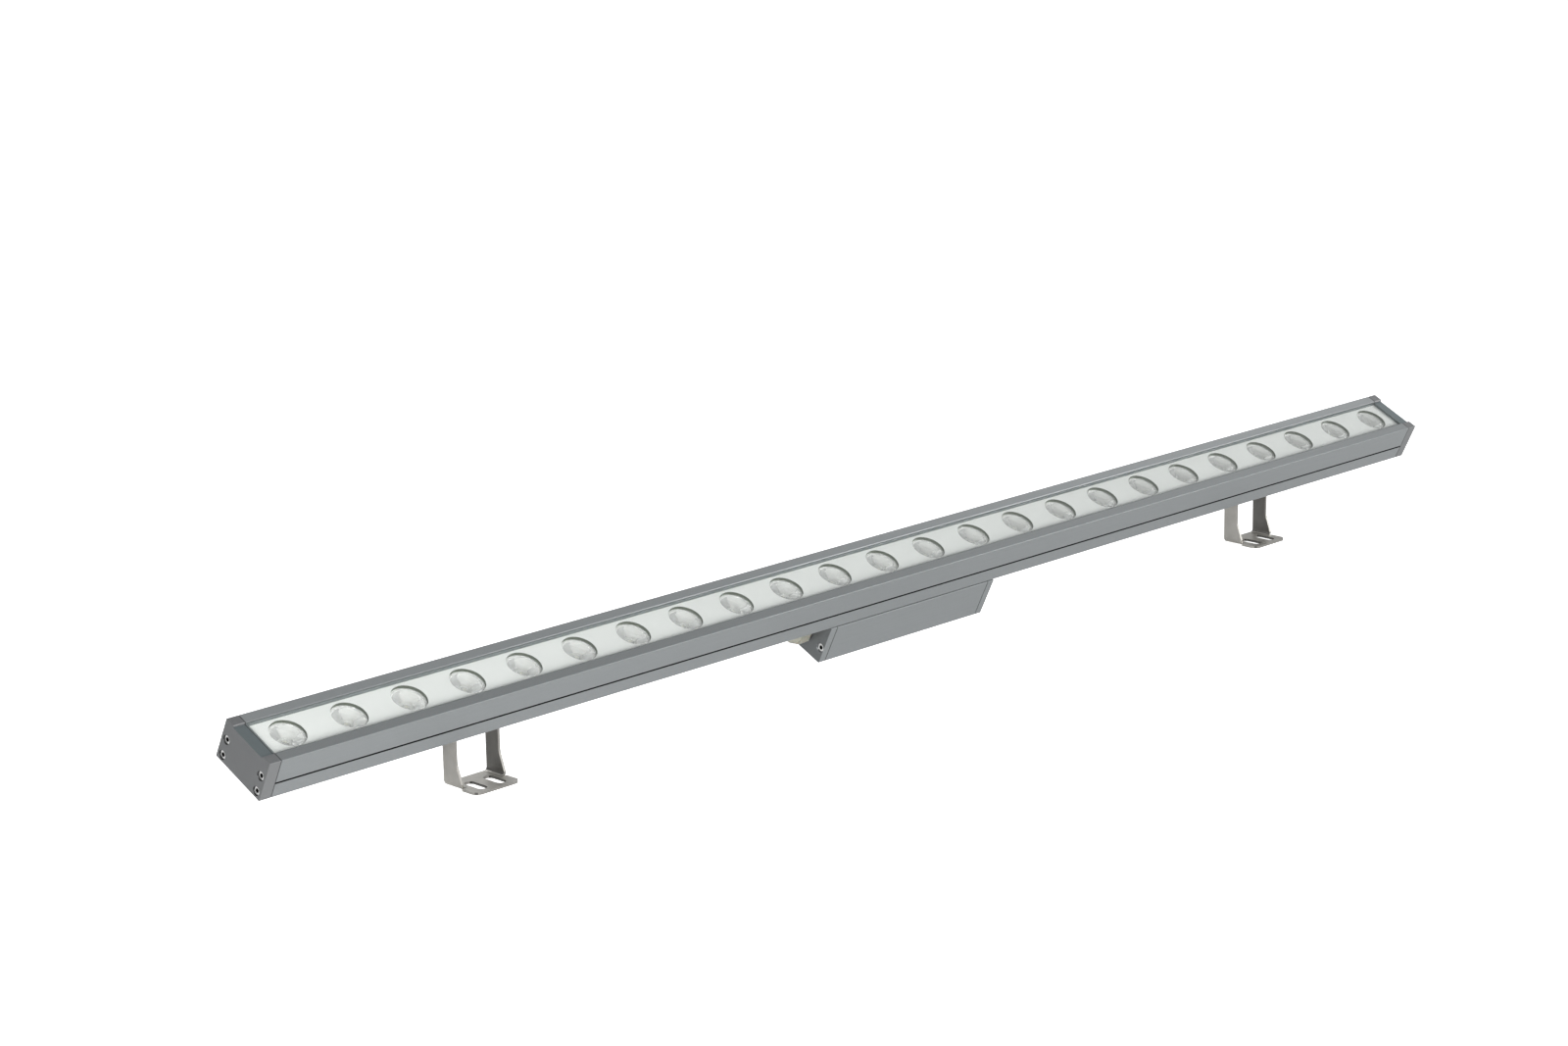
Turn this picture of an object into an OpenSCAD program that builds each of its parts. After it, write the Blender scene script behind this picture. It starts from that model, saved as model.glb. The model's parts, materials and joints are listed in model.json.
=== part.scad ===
// Linear outdoor wall washer: an extruded lamp with a row of lenses under glass,
// a driver box under its middle and two tilting foot brackets that slide in a T-slot.
// The origin is on the mounting surface, below the tilt axis, midway along the lamp.
// +X runs along the lamp, -Y is the side that the tilted glass faces, +Z is up.
// Lamp pieces are drawn in the lamp's own frame, with its underside at zero height.

/* [Lamp] */
// Overall length over both end caps
lamp_l = 1000; // [800:1:1400]
// Width of the extruded housing
lamp_w = 39.4; // [38.2:0.1:46]
// Height of the extruded housing
lamp_h = 25.4; // [24:0.1:32]
// Tilt of the lamp about its pivots, from facing straight up
tilt = 26; // [0:1:60]

/* [Housing profile] */
// Width of each top lip beside the glass
lip_w = 6.6; // [6:0.1:7.4]
// Chamfer on the inner edge of each lip
lip_chamfer = 0.4; // [0.2:0.1:0.5]
// Radius of the outer corners
edge_r = 0.3; // [0.2:0.1:1]
// Width of the ledge that carries the lens plate
ledge_w = 0.8; // [0.5:0.1:0.8]
// Height of the thin shadow groove above the underside
groove_n = 9.8; // [7:0.1:11]
// Width of the shadow groove
groove_w = 1; // [0.5:0.1:1.3]
// Depth of the shadow groove
groove_d = 0.9; // [0.3:0.1:1]
// Width of the T-slot's mouth
slot_w = 6.4; // [5.6:0.1:7]
// Thickness of the lips beside the slot's mouth
slot_lip = 1.8; // [1.4:0.1:2.2]
// Width of the channel behind the slot's mouth
channel_w = 10.6; // [9.6:0.1:12]
// Height of the channel behind the slot's mouth
channel_h = 3.2; // [2.8:0.1:3.6]
// Thickness of the floor between the channel and the LED chamber
floor_t = 2.2; // [1.8:0.1:2.6]
// Wall kept round each hollow of the extrusion
web_t = 1.6; // [1.2:0.1:1.8]
// Least metal kept round a screw port
port_wall = 0.9; // [0.7:0.1:1.2]

/* [End caps] */
// Thickness of each end cap
cap_t = 7.4; // [6.5:0.1:10]
// Depth of the shallow recess across the cap, between its lips
cap_recess = 1.3; // [0.9:0.1:2]
// Thickness of the rubber gasket behind each cap
gasket_t = 0.6; // [0.4:0.1:1.5]
// How far the gasket stands back from the profile's outline
gasket_inset = 0.2; // [0.1:0.1:0.5]
// Distance of the screw axes from the housing's side
port_inset = 4.2; // [3.2:0.1:4.5]
// Height of the lower screws
port_low_n = 3.7; // [3.4:0.1:4]
// Height of the upper screws
port_high_n = 14; // [13.5:0.1:15]
// Radius of the cap screws
cap_screw_r = 1.5; // [1.2:0.1:1.6]
// Radius of the cap screws' heads
cap_head_r = 2.45; // [2.2:0.05:2.5]
// Height of the cap screws' heads
cap_head_h = 2.5; // [2:0.1:2.8]
// Depth of the cap screws' heads below the face that they hold
cap_head_sink = 0.8; // [0.3:0.1:1]
// Width across the flats of their hexagon sockets
cap_hex_w = 2.5; // [2:0.1:2.6]
// Length of thread that goes into the profile
cap_bite = 10; // [6:0.5:16]

/* [Glass and lens plate] */
// Thickness of the front glass
glass_t = 3; // [2.5:0.1:4]
// How far the glass lies below the lips
glass_recess = 0.8; // [0.3:0.1:1.2]
// Width of the silicone bead round the glass
seal_w = 0.5; // [0.3:0.1:0.8]
// How far the bead stays below the glass
seal_drop = 0.3; // [0.1:0.1:0.8]
// Thickness of the silicone bed under the glass's edge
bed_t = 0.2; // [0.1:0.1:0.5]
// Width of the silicone bed under the glass's edge
bed_w = 0.4; // [0.2:0.1:1]
// Thickness of the white lens plate
plate_t = 2; // [1.5:0.1:2.4]
// Gap round the lens plate's edge
plate_gap = 0.1; // [0.05:0.05:0.3]
// Radius of the lens holes in the plate
hole_r = 10.5; // [9.5:0.1:10.5]

/* [Lenses and LEDs] */
// Distance between neighbouring lenses
lens_pitch = 41.16; // [34:0.01:60]
// Lenses on each LED board
lenses_per_board = 6; // [2:1:8]
// Least distance from the lamp's end to the first lens
end_room = 22; // [20:0.5:40]
// Gap between the lens and the rim of its hole
lens_gap = 0.3; // [0.2:0.05:0.6]
// How far the lens face lies below the plate
lens_sink = 1.8; // [1:0.1:2]
// Radius of the lens's cone at its foot
lens_foot_r = 4.4; // [3.8:0.1:4.8]
// Radius of the dish in the lens's face
dish_r = 7; // [5:0.1:8.5]
// Depth of the dish in the lens's face
dish_d = 0.8; // [0.4:0.1:1]
// Wall of the lens holder
holder_wall = 1.6; // [1.2:0.1:2.2]
// Thickness of the holder's foot
holder_foot = 0.8; // [0.5:0.1:1.2]
// Depth of the seat for the lens's rim
seat_d = 1.4; // [1.2:0.1:2]
// Side of the square LED package
led_w = 3.5; // [3:0.1:3.8]
// Height of the LED package below its dome
led_h = 0.7; // [0.5:0.1:1]
// Radius of the LED's dome
dome_r = 1.3; // [1:0.1:1.5]
// Thickness of the LED boards
board_t = 1.6; // [1:0.1:2]
// Gap between the ends of neighbouring boards
board_space = 7; // [6:0.5:10]
// Gap between a board's edge and the chamber's wall
board_gap = 0.4; // [0.2:0.1:0.8]
// Radius of the board screws
board_screw_r = 1.25; // [1:0.05:1.5]
// Distance of the board screws from the middle line
board_screw_v = 8.2; // [8:0.1:8.5]
// Radius of the insulated jumper wires
wire_r = 0.6; // [0.4:0.05:0.7]
// Distance of the jumper wires from the middle line
jumper_v = 5; // [4:0.1:7]

/* [Driver box] */
// Length of the driver box over its end plates
driver_l = 145; // [135:1:200]
// Width of the driver box
driver_w = 39.4; // [34:0.1:42]
// Height of the driver box
driver_h = 26; // [25:0.1:28]
// Thickness of the rubber pad between the box and the lamp
pad_t = 0.9; // [0.6:0.1:1.5]
// How far the pad stands back from the box's outline
pad_inset = 3; // [1:0.1:4]
// Wall of the extruded driver case
case_wall = 1.8; // [1.5:0.1:2.4]
// Thickness of the driver's end plates
end_t = 5; // [4.5:0.1:6]
// Distance of the end screws from the box's side
end_screw_inset = 2.9; // [2.8:0.1:3.2]
// Height of the end screws above the box's underside
end_screw_h = 9.5; // [9.5:0.1:13]
// Distance of the two mounting screws from the middle
driver_screw_x = 45; // [40:0.5:46]
// Length of the driver's circuit board
driver_board_l = 118; // [112:1:120]
// Height of the circuit board above the case's floor
driver_board_h = 3; // [2:0.1:3.5]
// Thickness of the circuit board
driver_board_t = 1.6; // [1:0.1:2]
// Outer radius of the wire bush's threaded shank
bush_r = 2.8; // [2.5:0.05:2.9]
// Radius of the wire bush's bore
bush_bore_r = 1.8; // [1.6:0.05:2]

/* [Cable gland] */
// Radius of the gland's thread
gland_r = 6; // [5:0.1:6.5]
// Width across the flats of the gland's hexagons
gland_hex_w = 16; // [15:0.1:17]
// Thickness of the black sealing ring behind the gland
gland_ring_t = 1.2; // [0.8:0.1:2]
// Thickness of the gland body's hexagon
gland_flange_t = 2.6; // [2:0.1:5]
// Length of the ribbed clamping nut
gland_nut_l = 13.3; // [12.5:0.1:18]
// Radius of the cable passage through the gland's seal
cable_r = 3; // [2.5:0.05:3.2]

/* [Brackets] */
// Distance of the left bracket's middle from the lamp's left end
bracket_inset_left = 162; // [60:1:240]
// Distance of the right bracket's middle from the lamp's right end
bracket_inset_right = 149; // [60:1:240]
// Height of the tilt axis above the mounting surface
pivot_h = 36.3; // [36:0.1:60]
// Distance of the tilt axis below the housing
pivot_drop = 7; // [7:0.1:12]
// Width of a bracket over both legs
bracket_w = 32.6; // [31:0.1:50]
// Thickness of the bracket's sheet
sheet_t = 1.5; // [1.2:0.1:2]
// Width of each leg
leg_w = 10.6; // [9.6:0.1:12]
// How far the foot reaches forward of the tilt axis
foot_reach = 22.3; // [21:0.1:40]
// Radius of the foot's front corners
foot_corner_r = 4.5; // [1:0.5:6]
// Inner radius of the sheet's bends
bend_r = 2; // [0.8:0.1:2.5]
// How far the leg widens forward at its foot
flare = 4.2; // [1:0.1:5]
// Height at which the leg starts to widen
flare_h = 15; // [8:0.5:17]
// Radius that eases the leg into its wider foot
flare_r = 12; // [2:1:16]
// Width of each fixing slot
fix_slot_w = 6.2; // [4:0.1:7]
// Length of each fixing slot from end to end
fix_slot_l = 16; // [8:0.5:16]
// Distance between the two slots of a bracket
fix_slot_pitch = 13.8; // [12:0.1:15]
// Distance of the slots' middles forward of the tilt axis
fix_slot_reach = 10.8; // [10:0.1:13]
// Radius of the bend relief between foot and leg
relief_r = 0.6; // [0.4:0.1:1]

/* [Pivots] */
// Radius of the pivot screws' shoulders
pivot_r = 2.5; // [2:0.1:3]
// Radius of the pivot screws' heads
pivot_head_r = 4.4; // [4:0.1:5.5]
// Height of the pivot screws' heads
pivot_head_h = 2.6; // [2:0.1:4]
// Width across the flats of the pivot screws' sockets
pivot_hex_w = 3; // [2.5:0.1:3.5]
// Thickness of the nylon washer between block and leg
nylon_t = 0.6; // [0.4:0.1:1]
// Thickness of the lock washer under each pivot screw's head
lock_t = 0.8; // [0.5:0.1:1.5]
// Radius of the nylon and lock washers
washer_r = 4.6; // [4.4:0.1:5.2]
// Width of the pivot block's foot against the housing
block_w = 18; // [15:0.5:24]
// Thickness of the pivot block's foot
block_foot_t = 2.6; // [2:0.1:3]
// Radius of the clamping screw's shank
clamp_r = 2; // [1.5:0.1:2]
// Radius of the clamping screw's head
clamp_head_r = 3.4; // [3:0.1:3.5]
// Height of the clamping screw's head
clamp_head_h = 4; // [3:0.1:4.2]
// Width across the flats of the clamping screw's socket
clamp_hex_w = 3; // [2.5:0.1:3.5]
// Length of each T-nut
nut_l = 20; // [14:0.5:26]

/* [Clearances] */
// Radial clearance of a turning shaft in its hole
run_gap = 0.05; // [0.02:0.01:0.09]
// Radial clearance of a thread in its tapped hole
thread_gap = 0.05; // [0.02:0.01:0.1]
// Radial clearance of a screw in a plain hole
pass_gap = 0.25; // [0.1:0.05:0.4]
// Clearance round a sliding T-nut and its block
slide_gap = 0.1; // [0.05:0.05:0.2]
// Clearance beside a turning leg
side_gap = 0.05; // [0.02:0.01:0.1]
// Clearance round each countersunk screw head
head_gap = 0.3; // [0.1:0.05:0.4]

/* [Hidden] */
$fn = 96;

anodised = "#979b9c";
cap_grey = "#7b7d7e";
stainless = "#a39f97";
bright_steel = "#c9cbcc";
rubber = "#2b2c2d";
white_paint = "#e2e6e3";
clear_glass = [0.72, 0.86, 0.82, 0.35];
clear_plastic = [0.86, 0.88, 0.88, 0.6];
silicone = "#6e7576";
cream = "#c6c0a4";
board_green = "#2f6b48";
nylon = "#e4e2d8";
small = 0.01;

// Housing heights and widths
profile_l = lamp_l - 2 * (cap_t + gasket_t);
rebate_w = lamp_w - 2 * lip_w;
chamber_w = rebate_w - 2 * ledge_w;
floor_n = slot_lip + channel_h + floor_t;
glass_top_n = lamp_h - glass_recess;
glass_bottom_n = glass_top_n - glass_t;
plate_top_n = glass_bottom_n - bed_t;
ledge_n = plate_top_n - plate_t;
board_top_n = floor_n + board_t;
port_v = lamp_w / 2 - port_inset;
port_r = cap_screw_r + thread_gap;

// Lens and board layout
board_count = floor((lamp_l - 2 * end_room + lens_pitch) / (lenses_per_board * lens_pitch));
lens_count = board_count * lenses_per_board;
board_l = lenses_per_board * lens_pitch - board_space;
lens_r = hole_r - lens_gap;
holder_rim = 0.5;
holder_r = hole_r + holder_rim;
holder_h = ledge_n - board_top_n;
seat_h = holder_h - seat_d;
lens_lift = 0.3;
lens_clear = 0.2;
lens_top_h = holder_h + plate_t - lens_sink;
lens_well_r = led_w / sqrt(2) + lens_clear;
dome_room = 1.5;
lens_well_h = led_h + dome_r + dome_room;
holder_bore_gap = 0.6;
board_head_r = 2.3;
board_head_h = 1.4;
board_screw_room = 2;
jumper_land = 3;

// Driver box heights, measured down from the lamp's underside
case_top_n = -pad_t;
case_bottom_n = case_top_n - driver_h;
case_l = driver_l - 2 * (end_t + gasket_t);
end_screw_v = driver_w / 2 - end_screw_inset;
end_screw_n = case_bottom_n + end_screw_h;
end_boss_wall = 1.3;
end_boss_r = cap_screw_r + end_boss_wall;
case_inner_w = driver_w - 2 * case_wall;
driver_board_n = case_bottom_n + case_wall + driver_board_h;
driver_deck_n = driver_board_n + driver_board_t;
driver_board_gap = 0.25;
driver_board_w = case_inner_w - 2 * driver_board_gap;
rail_t = 1;
rail_reach = 1.6;
feed_x = 0;
bush_flange_r = channel_w / 2 - slide_gap;
bush_tail = 5;
bush_neck_gap = 0.8;
bush_neck_r = board_space / 2 - bush_neck_gap;
feed_nut_h = 2.4;
feed_nut_wall = 1.5;
wire_space = 0.2;
wire_bow = 1;
wire_land_back = 1;
transformer_x = 24;
capacitor_x = -32;
capacitor_v = 6;
choke_x = -15;
terminal_inset = 2;

// Cable gland, measured outward from the driver's left end plate
gland_n = case_bottom_n + driver_h / 2;
locknut_t = 3.5;
gland_tail = 1.5;
gland_bore_wall = 0.6;
gland_nut_gap = 0.4;
gland_neck_l = 5;
gland_thread_d = 0.3;
gland_neck_r = gland_r - gland_thread_d;
gland_flange_x = gland_ring_t + gland_flange_t;
gland_nut_x = gland_flange_x + gland_nut_gap;
gland_end_x = gland_nut_x + gland_nut_l;
gland_end_wall = 2;
gland_mouth_gap = 0.4;
gland_mouth_r = cable_r + gland_mouth_gap;
gland_seal_x = gland_flange_x + gland_neck_l;
gland_seal_end_x = gland_end_x - gland_end_wall;
gland_seal_wall = 1.4;
gland_seal_r = cable_r + gland_seal_wall;
gland_tail_x = -end_t - locknut_t - gland_tail;

// Bracket and pivot layout
bracket_left_x = bracket_inset_left - lamp_l / 2;
bracket_right_x = lamp_l / 2 - bracket_inset_right;
leg_x = bracket_w / 2 - sheet_t;
block_l = 2 * (leg_x - nylon_t - side_gap);
boss_r = 6.2;
outer_bend = bend_r + sheet_t;
leg_front_y = -leg_w / 2;
leg_foot_y = leg_front_y - flare;
flare_angle = atan2(flare, flare_h - outer_bend);
flare_ease = flare_r * tan(flare_angle / 2);
pivot_wall = 1.2;
pivot_bite = block_l / 2 - clamp_head_r - head_gap - pivot_wall;
clamp_sink = 0.2;
clamp_seat_n = -pivot_drop - boss_r + clamp_head_h + clamp_sink;
foot_bond = 2;
socket_share = 0.65;

// Placement of pieces and simple swept shapes

module on_lamp() {
    translate([0, 0, pivot_h])
        rotate([tilt, 0, 0])
            translate([0, 0, pivot_drop])
                children();
}

// A section drawn as (across, up) and swept along X
module sweep_x(from, to) {
    translate([from, 0, 0])
        rotate([90, 0, 90])
            linear_extrude(to - from)
                children();
}

module rod_x(from, to, r) {
    translate([from, 0, 0])
        rotate([0, 90, 0])
            cylinder(r = r, h = to - from);
}

// A hexagonal bar along X, flats up, given by its width across the flats
module hex_x(from, to, w) {
    translate([from, 0, 0])
        rotate([0, 90, 0])
            cylinder(r = w / 2 / cos(30), h = to - from, $fn = 6);
}

module hex_z(from, to, w) {
    translate([0, 0, from])
        cylinder(r = w / 2 / cos(30), h = to - from, $fn = 6);
}

module rounded_rect(w, h, r) {
    translate([-w / 2, r])
        square([w, h - 2 * r]);
    translate([r - w / 2, 0])
        square([w - 2 * r, h]);
    for (side = [-1, 1], up = [r, h - r])
        translate([side * (w / 2 - r), up])
            circle(r);
}

// Copies at the housing's screw ports
module at_ports() {
    for (side = [-1, 1], up = [port_low_n, port_high_n])
        translate([side * port_v, up])
            children();
}

function lens_x(i) = (i - (lens_count - 1) / 2) * lens_pitch;
function board_x(i) = (i - (board_count - 1) / 2) * lenses_per_board * lens_pitch;

module at_lenses() {
    for (i = [0 : lens_count - 1])
        translate([lens_x(i), 0, board_top_n])
            children();
}

// Board screws stand midway between lenses, near each end of a board, on opposite sides
module at_board_screws() {
    for (i = [0 : board_count - 1], side = [-1, 1])
        translate([board_x(i) + side * (lenses_per_board / 2 - 1) * lens_pitch, side * board_screw_v, 0])
            children();
}

// Housing

module lip_gap_section(bottom_n) {
    translate([-rebate_w / 2, bottom_n])
        square([rebate_w, lamp_h]);
    polygon([
        [-rebate_w / 2 - lip_chamfer - small, lamp_h + small],
        [-rebate_w / 2, lamp_h - lip_chamfer],
        [rebate_w / 2, lamp_h - lip_chamfer],
        [rebate_w / 2 + lip_chamfer + small, lamp_h + small]
    ]);
}

module t_slot_section() {
    translate([-slot_w / 2, -small])
        square([slot_w, slot_lip + 2 * small]);
    translate([-channel_w / 2, slot_lip])
        square([channel_w, channel_h]);
}

module hollow_section() {
    side_in = chamber_w / 2 + web_t;
    lip_in = rebate_w / 2 + web_t;
    side_out = lamp_w / 2 - web_t;
    low = port_low_n + port_r + port_wall;
    high = port_high_n - port_r - port_wall;
    above = port_high_n + port_r + port_wall;
    bed_in = channel_w / 2 + web_t;
    bed_out = port_v - port_r - port_wall;
    for (side = [0, 1])
        mirror([side, 0]) {
            translate([side_in, low])
                square([side_out - side_in, high - low]);
            translate([lip_in, above])
                square([side_out - lip_in, lamp_h - web_t - above]);
            translate([bed_in, web_t])
                square([bed_out - bed_in, floor_n - 2 * web_t]);
        }
}

module housing_section() {
    difference() {
        rounded_rect(lamp_w, lamp_h, edge_r);
        lip_gap_section(ledge_n);
        translate([-chamber_w / 2, floor_n])
            square([chamber_w, lamp_h]);
        t_slot_section();
        hollow_section();
        for (side = [-1, 1])
            translate([side * lamp_w / 2 - groove_d, groove_n - groove_w / 2])
                square([2 * groove_d, groove_w]);
        at_ports()
            circle(port_r);
    }
}

module housing() {
    color(anodised)
        on_lamp()
            difference() {
                sweep_x(-profile_l / 2, profile_l / 2)
                    housing_section();
                translate([feed_x, 0, slot_lip])
                    cylinder(r = bush_neck_r + thread_gap, h = lamp_h);
                at_board_screws()
                    translate([0, 0, web_t])
                        cylinder(r = board_screw_r + thread_gap, h = lamp_h);
            }
}

// End caps and their fixings

module cap_section() {
    difference() {
        rounded_rect(lamp_w, lamp_h, edge_r);
        lip_gap_section(lamp_h - cap_recess);
    }
}

module end_cap() {
    outer = lamp_l / 2;
    difference() {
        sweep_x(outer - cap_t, outer)
            cap_section();
        sweep_x(outer - cap_t - small, outer + small)
            at_ports()
                circle(cap_screw_r + pass_gap);
        sweep_x(outer - cap_head_h - cap_head_sink, outer + small)
            at_ports()
                circle(cap_head_r + head_gap);
    }
}

module end_gasket() {
    sweep_x(profile_l / 2, profile_l / 2 + gasket_t)
        difference() {
            translate([0, gasket_inset])
                rounded_rect(lamp_w - 2 * gasket_inset, lamp_h - 2 * gasket_inset, edge_r);
            translate([-rebate_w / 2 - gasket_inset, lamp_h - cap_recess - gasket_inset])
                square([rebate_w + 2 * gasket_inset, lamp_h]);
            at_ports()
                circle(cap_screw_r + pass_gap);
        }
}

// A socket screw along X with its head's face at the given place, pointing to -X
module socket_screw(face_x, shank_l, shank_r, head_r, head_h, hex_w) {
    hex_d = head_h * socket_share;
    difference() {
        union() {
            rod_x(face_x - head_h, face_x, head_r);
            rod_x(face_x - head_h - shank_l, face_x - head_h + small, shank_r);
        }
        hex_x(face_x - hex_d, face_x + small, hex_w);
    }
}

module cap_screws() {
    for (side = [-1, 1], up = [port_low_n, port_high_n])
        translate([0, side * port_v, up])
            socket_screw(lamp_l / 2 - cap_head_sink,
                cap_t - cap_head_h - cap_head_sink + gasket_t + cap_bite,
                cap_screw_r, cap_head_r, cap_head_h, cap_hex_w);
}

module end_cap_right() {
    color(cap_grey)
        on_lamp()
            end_cap();
}

module end_cap_left() {
    color(cap_grey)
        on_lamp()
            mirror([1, 0, 0])
                end_cap();
}

module end_gasket_right() {
    color(rubber)
        on_lamp()
            end_gasket();
}

module end_gasket_left() {
    color(rubber)
        on_lamp()
            mirror([1, 0, 0])
                end_gasket();
}

module cap_screws_right() {
    color(bright_steel)
        on_lamp()
            cap_screws();
}

module cap_screws_left() {
    color(bright_steel)
        on_lamp()
            mirror([1, 0, 0])
                cap_screws();
}

// Glass, seal and lens plate

module slab(l, w, from_n, to_n) {
    translate([-l / 2, -w / 2, from_n])
        cube([l, w, to_n - from_n]);
}

module front_glass() {
    color(clear_glass)
        on_lamp()
            slab(profile_l - 2 * seal_w, rebate_w - 2 * seal_w, glass_bottom_n, glass_top_n);
}

// The silicone fills the joint round the glass and beds its edge on the lens plate
module glass_seal() {
    bed_in = seal_w + bed_w;
    color(silicone)
        on_lamp()
            difference() {
                slab(profile_l, rebate_w, plate_top_n, glass_top_n - seal_drop);
                slab(profile_l - 2 * seal_w, rebate_w - 2 * seal_w, glass_bottom_n, lamp_h);
                slab(profile_l - 2 * bed_in, rebate_w - 2 * bed_in, plate_top_n - small, lamp_h);
            }
}

module lens_plate() {
    color(white_paint)
        on_lamp()
            difference() {
                slab(profile_l - 2 * plate_gap, rebate_w - 2 * plate_gap, ledge_n, plate_top_n);
                at_lenses()
                    cylinder(r = hole_r, h = lamp_h);
            }
}

// Lenses, holders, LEDs and boards

// A clear cone with a rim that seats in its holder, a well over the LED and a dished face
module lens() {
    cone_r = holder_r - holder_wall - lens_clear;
    dish_ball_r = (dish_r * dish_r + dish_d * dish_d) / (2 * dish_d);
    dish_facets = 200;
    difference() {
        rotate_extrude()
            polygon([
                [0, lens_lift],
                [lens_foot_r, lens_lift],
                [cone_r, seat_h],
                [lens_r, seat_h],
                [lens_r, lens_top_h],
                [0, lens_top_h]
            ]);
        translate([0, 0, -small])
            cylinder(r = lens_well_r, h = lens_well_h);
        translate([0, 0, lens_top_h - dish_d + dish_ball_r])
            sphere(r = dish_ball_r, $fn = dish_facets);
    }
}

module lenses() {
    color(clear_plastic)
        on_lamp()
            at_lenses()
                lens();
}

module lens_holder() {
    difference() {
        cylinder(r = holder_r, h = holder_h);
        translate([0, 0, -small])
            cylinder(r = lens_foot_r + holder_bore_gap, h = holder_h);
        translate([0, 0, holder_foot])
            cylinder(r = holder_r - holder_wall, h = holder_h);
        translate([0, 0, seat_h])
            cylinder(r = lens_r + lens_clear / 2, h = holder_h);
    }
}

module lens_holders() {
    color(white_paint)
        on_lamp()
            at_lenses()
                lens_holder();
}

module led_emitters() {
    color("#e8d98a")
        on_lamp()
            at_lenses() {
                translate([-led_w / 2, -led_w / 2, 0])
                    cube([led_w, led_w, led_h]);
                intersection() {
                    translate([0, 0, led_h])
                        sphere(r = dome_r);
                    cylinder(r = dome_r + small, h = led_h + dome_r);
                }
            }
}

module led_boards() {
    color("#dfe3df")
        on_lamp()
            difference() {
                for (i = [0 : board_count - 1])
                    translate([board_x(i), 0, 0])
                        slab(board_l, chamber_w - 2 * board_gap, floor_n, board_top_n);
                at_board_screws()
                    cylinder(r = board_screw_r + pass_gap, h = lamp_h);
            }
}

module board_screws() {
    tip_n = web_t + board_screw_room;
    color(bright_steel)
        on_lamp()
            at_board_screws()
                difference() {
                    union() {
                        translate([0, 0, tip_n])
                            cylinder(r = board_screw_r, h = board_top_n - tip_n + small);
                        translate([0, 0, board_top_n])
                            cylinder(r = board_head_r, h = board_head_h);
                    }
                    translate([0, 0, board_top_n + board_head_h / 2])
                        cylinder(r = board_head_r / 2, h = board_head_h, $fn = 6);
                }
}

module board_jumpers() {
    reach = board_space / 2 + jumper_land;
    half_board = lenses_per_board * lens_pitch / 2;
    color("#b03030")
        on_lamp()
            for (i = [1 : board_count - 1], side = [-1, 1])
                translate([board_x(i) - half_board, side * jumper_v, board_top_n + wire_r])
                    rod_x(-reach, reach, wire_r);
}

// Wire bush from the driver box into the lamp

module feed_bush() {
    color("#3a3c3e")
        on_lamp()
            translate([feed_x, 0, 0])
                difference() {
                    union() {
                        translate([0, 0, case_top_n - case_wall - bush_tail])
                            cylinder(r = bush_r, h = slot_lip - case_top_n + case_wall + bush_tail + small);
                        translate([0, 0, slot_lip])
                            cylinder(r = bush_flange_r, h = channel_h);
                        translate([0, 0, slot_lip])
                            cylinder(r = bush_neck_r, h = channel_h + floor_t + board_t);
                    }
                    translate([0, 0, case_bottom_n])
                        cylinder(r = bush_bore_r, h = driver_h + lamp_h);
                }
}

module feed_nut() {
    top = case_top_n - case_wall;
    color(bright_steel)
        on_lamp()
            translate([feed_x, 0, 0])
                difference() {
                    hex_z(top - feed_nut_h, top, 2 * (bush_r + feed_nut_wall));
                    translate([0, 0, top - feed_nut_h - small])
                        cylinder(r = bush_r + thread_gap, h = feed_nut_h + 2 * small);
                }
}

// Two wires rise from the driver board through the bush and land on the middle LED boards
module feed_wires() {
    rise_v = wire_r + wire_space;
    land_x = board_space / 2 + jumper_land - wire_land_back;
    top = board_top_n + 2 * wire_r + wire_bow;
    color("#1f1f1f")
        on_lamp()
            for (side = [-1, 1])
                translate([feed_x, side * rise_v, 0]) {
                    translate([0, 0, driver_deck_n])
                        cylinder(r = wire_r, h = top - driver_deck_n);
                    translate([0, 0, top])
                        sphere(r = wire_r);
                    translate([0, 0, top])
                        rotate([0, side * 90, 0])
                            cylinder(r = wire_r, h = land_x);
                    translate([side * land_x, 0, top])
                        sphere(r = wire_r);
                    translate([side * land_x, 0, board_top_n])
                        cylinder(r = wire_r, h = top - board_top_n);
                }
}

// Driver box

// Copies at the driver's end screws
module at_end_screws() {
    for (side = [-1, 1])
        translate([side * end_screw_v, end_screw_n])
            children();
}

module case_section() {
    rail_root = case_wall / 2;
    difference() {
        union() {
            difference() {
                translate([0, case_bottom_n])
                    rounded_rect(driver_w, driver_h, edge_r);
                translate([-case_inner_w / 2, case_bottom_n + case_wall])
                    square([case_inner_w, driver_h - 2 * case_wall]);
            }
            intersection() {
                at_end_screws()
                    circle(end_boss_r);
                translate([0, case_bottom_n])
                    rounded_rect(driver_w, driver_h, edge_r);
            }
            for (side = [-1, 1], up = [driver_board_n - rail_t - slide_gap, driver_deck_n + slide_gap])
                translate([side * (case_inner_w - rail_reach + rail_root) / 2, up + rail_t / 2])
                    square([rail_reach + rail_root, rail_t], center = true);
        }
        at_end_screws()
            circle(port_r);
    }
}

// Copies at the two screws that hold the driver box
module at_driver_screws() {
    for (side = [-1, 1])
        translate([side * driver_screw_x, 0, 0])
            children();
}

module driver_case() {
    color(anodised)
        on_lamp()
            difference() {
                sweep_x(-case_l / 2, case_l / 2)
                    case_section();
                translate([feed_x, 0, case_top_n - case_wall - small])
                    cylinder(r = bush_r + pass_gap, h = driver_h);
                at_driver_screws()
                    translate([0, 0, case_top_n - case_wall - small])
                        cylinder(r = clamp_r + pass_gap, h = driver_h);
            }
}

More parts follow.
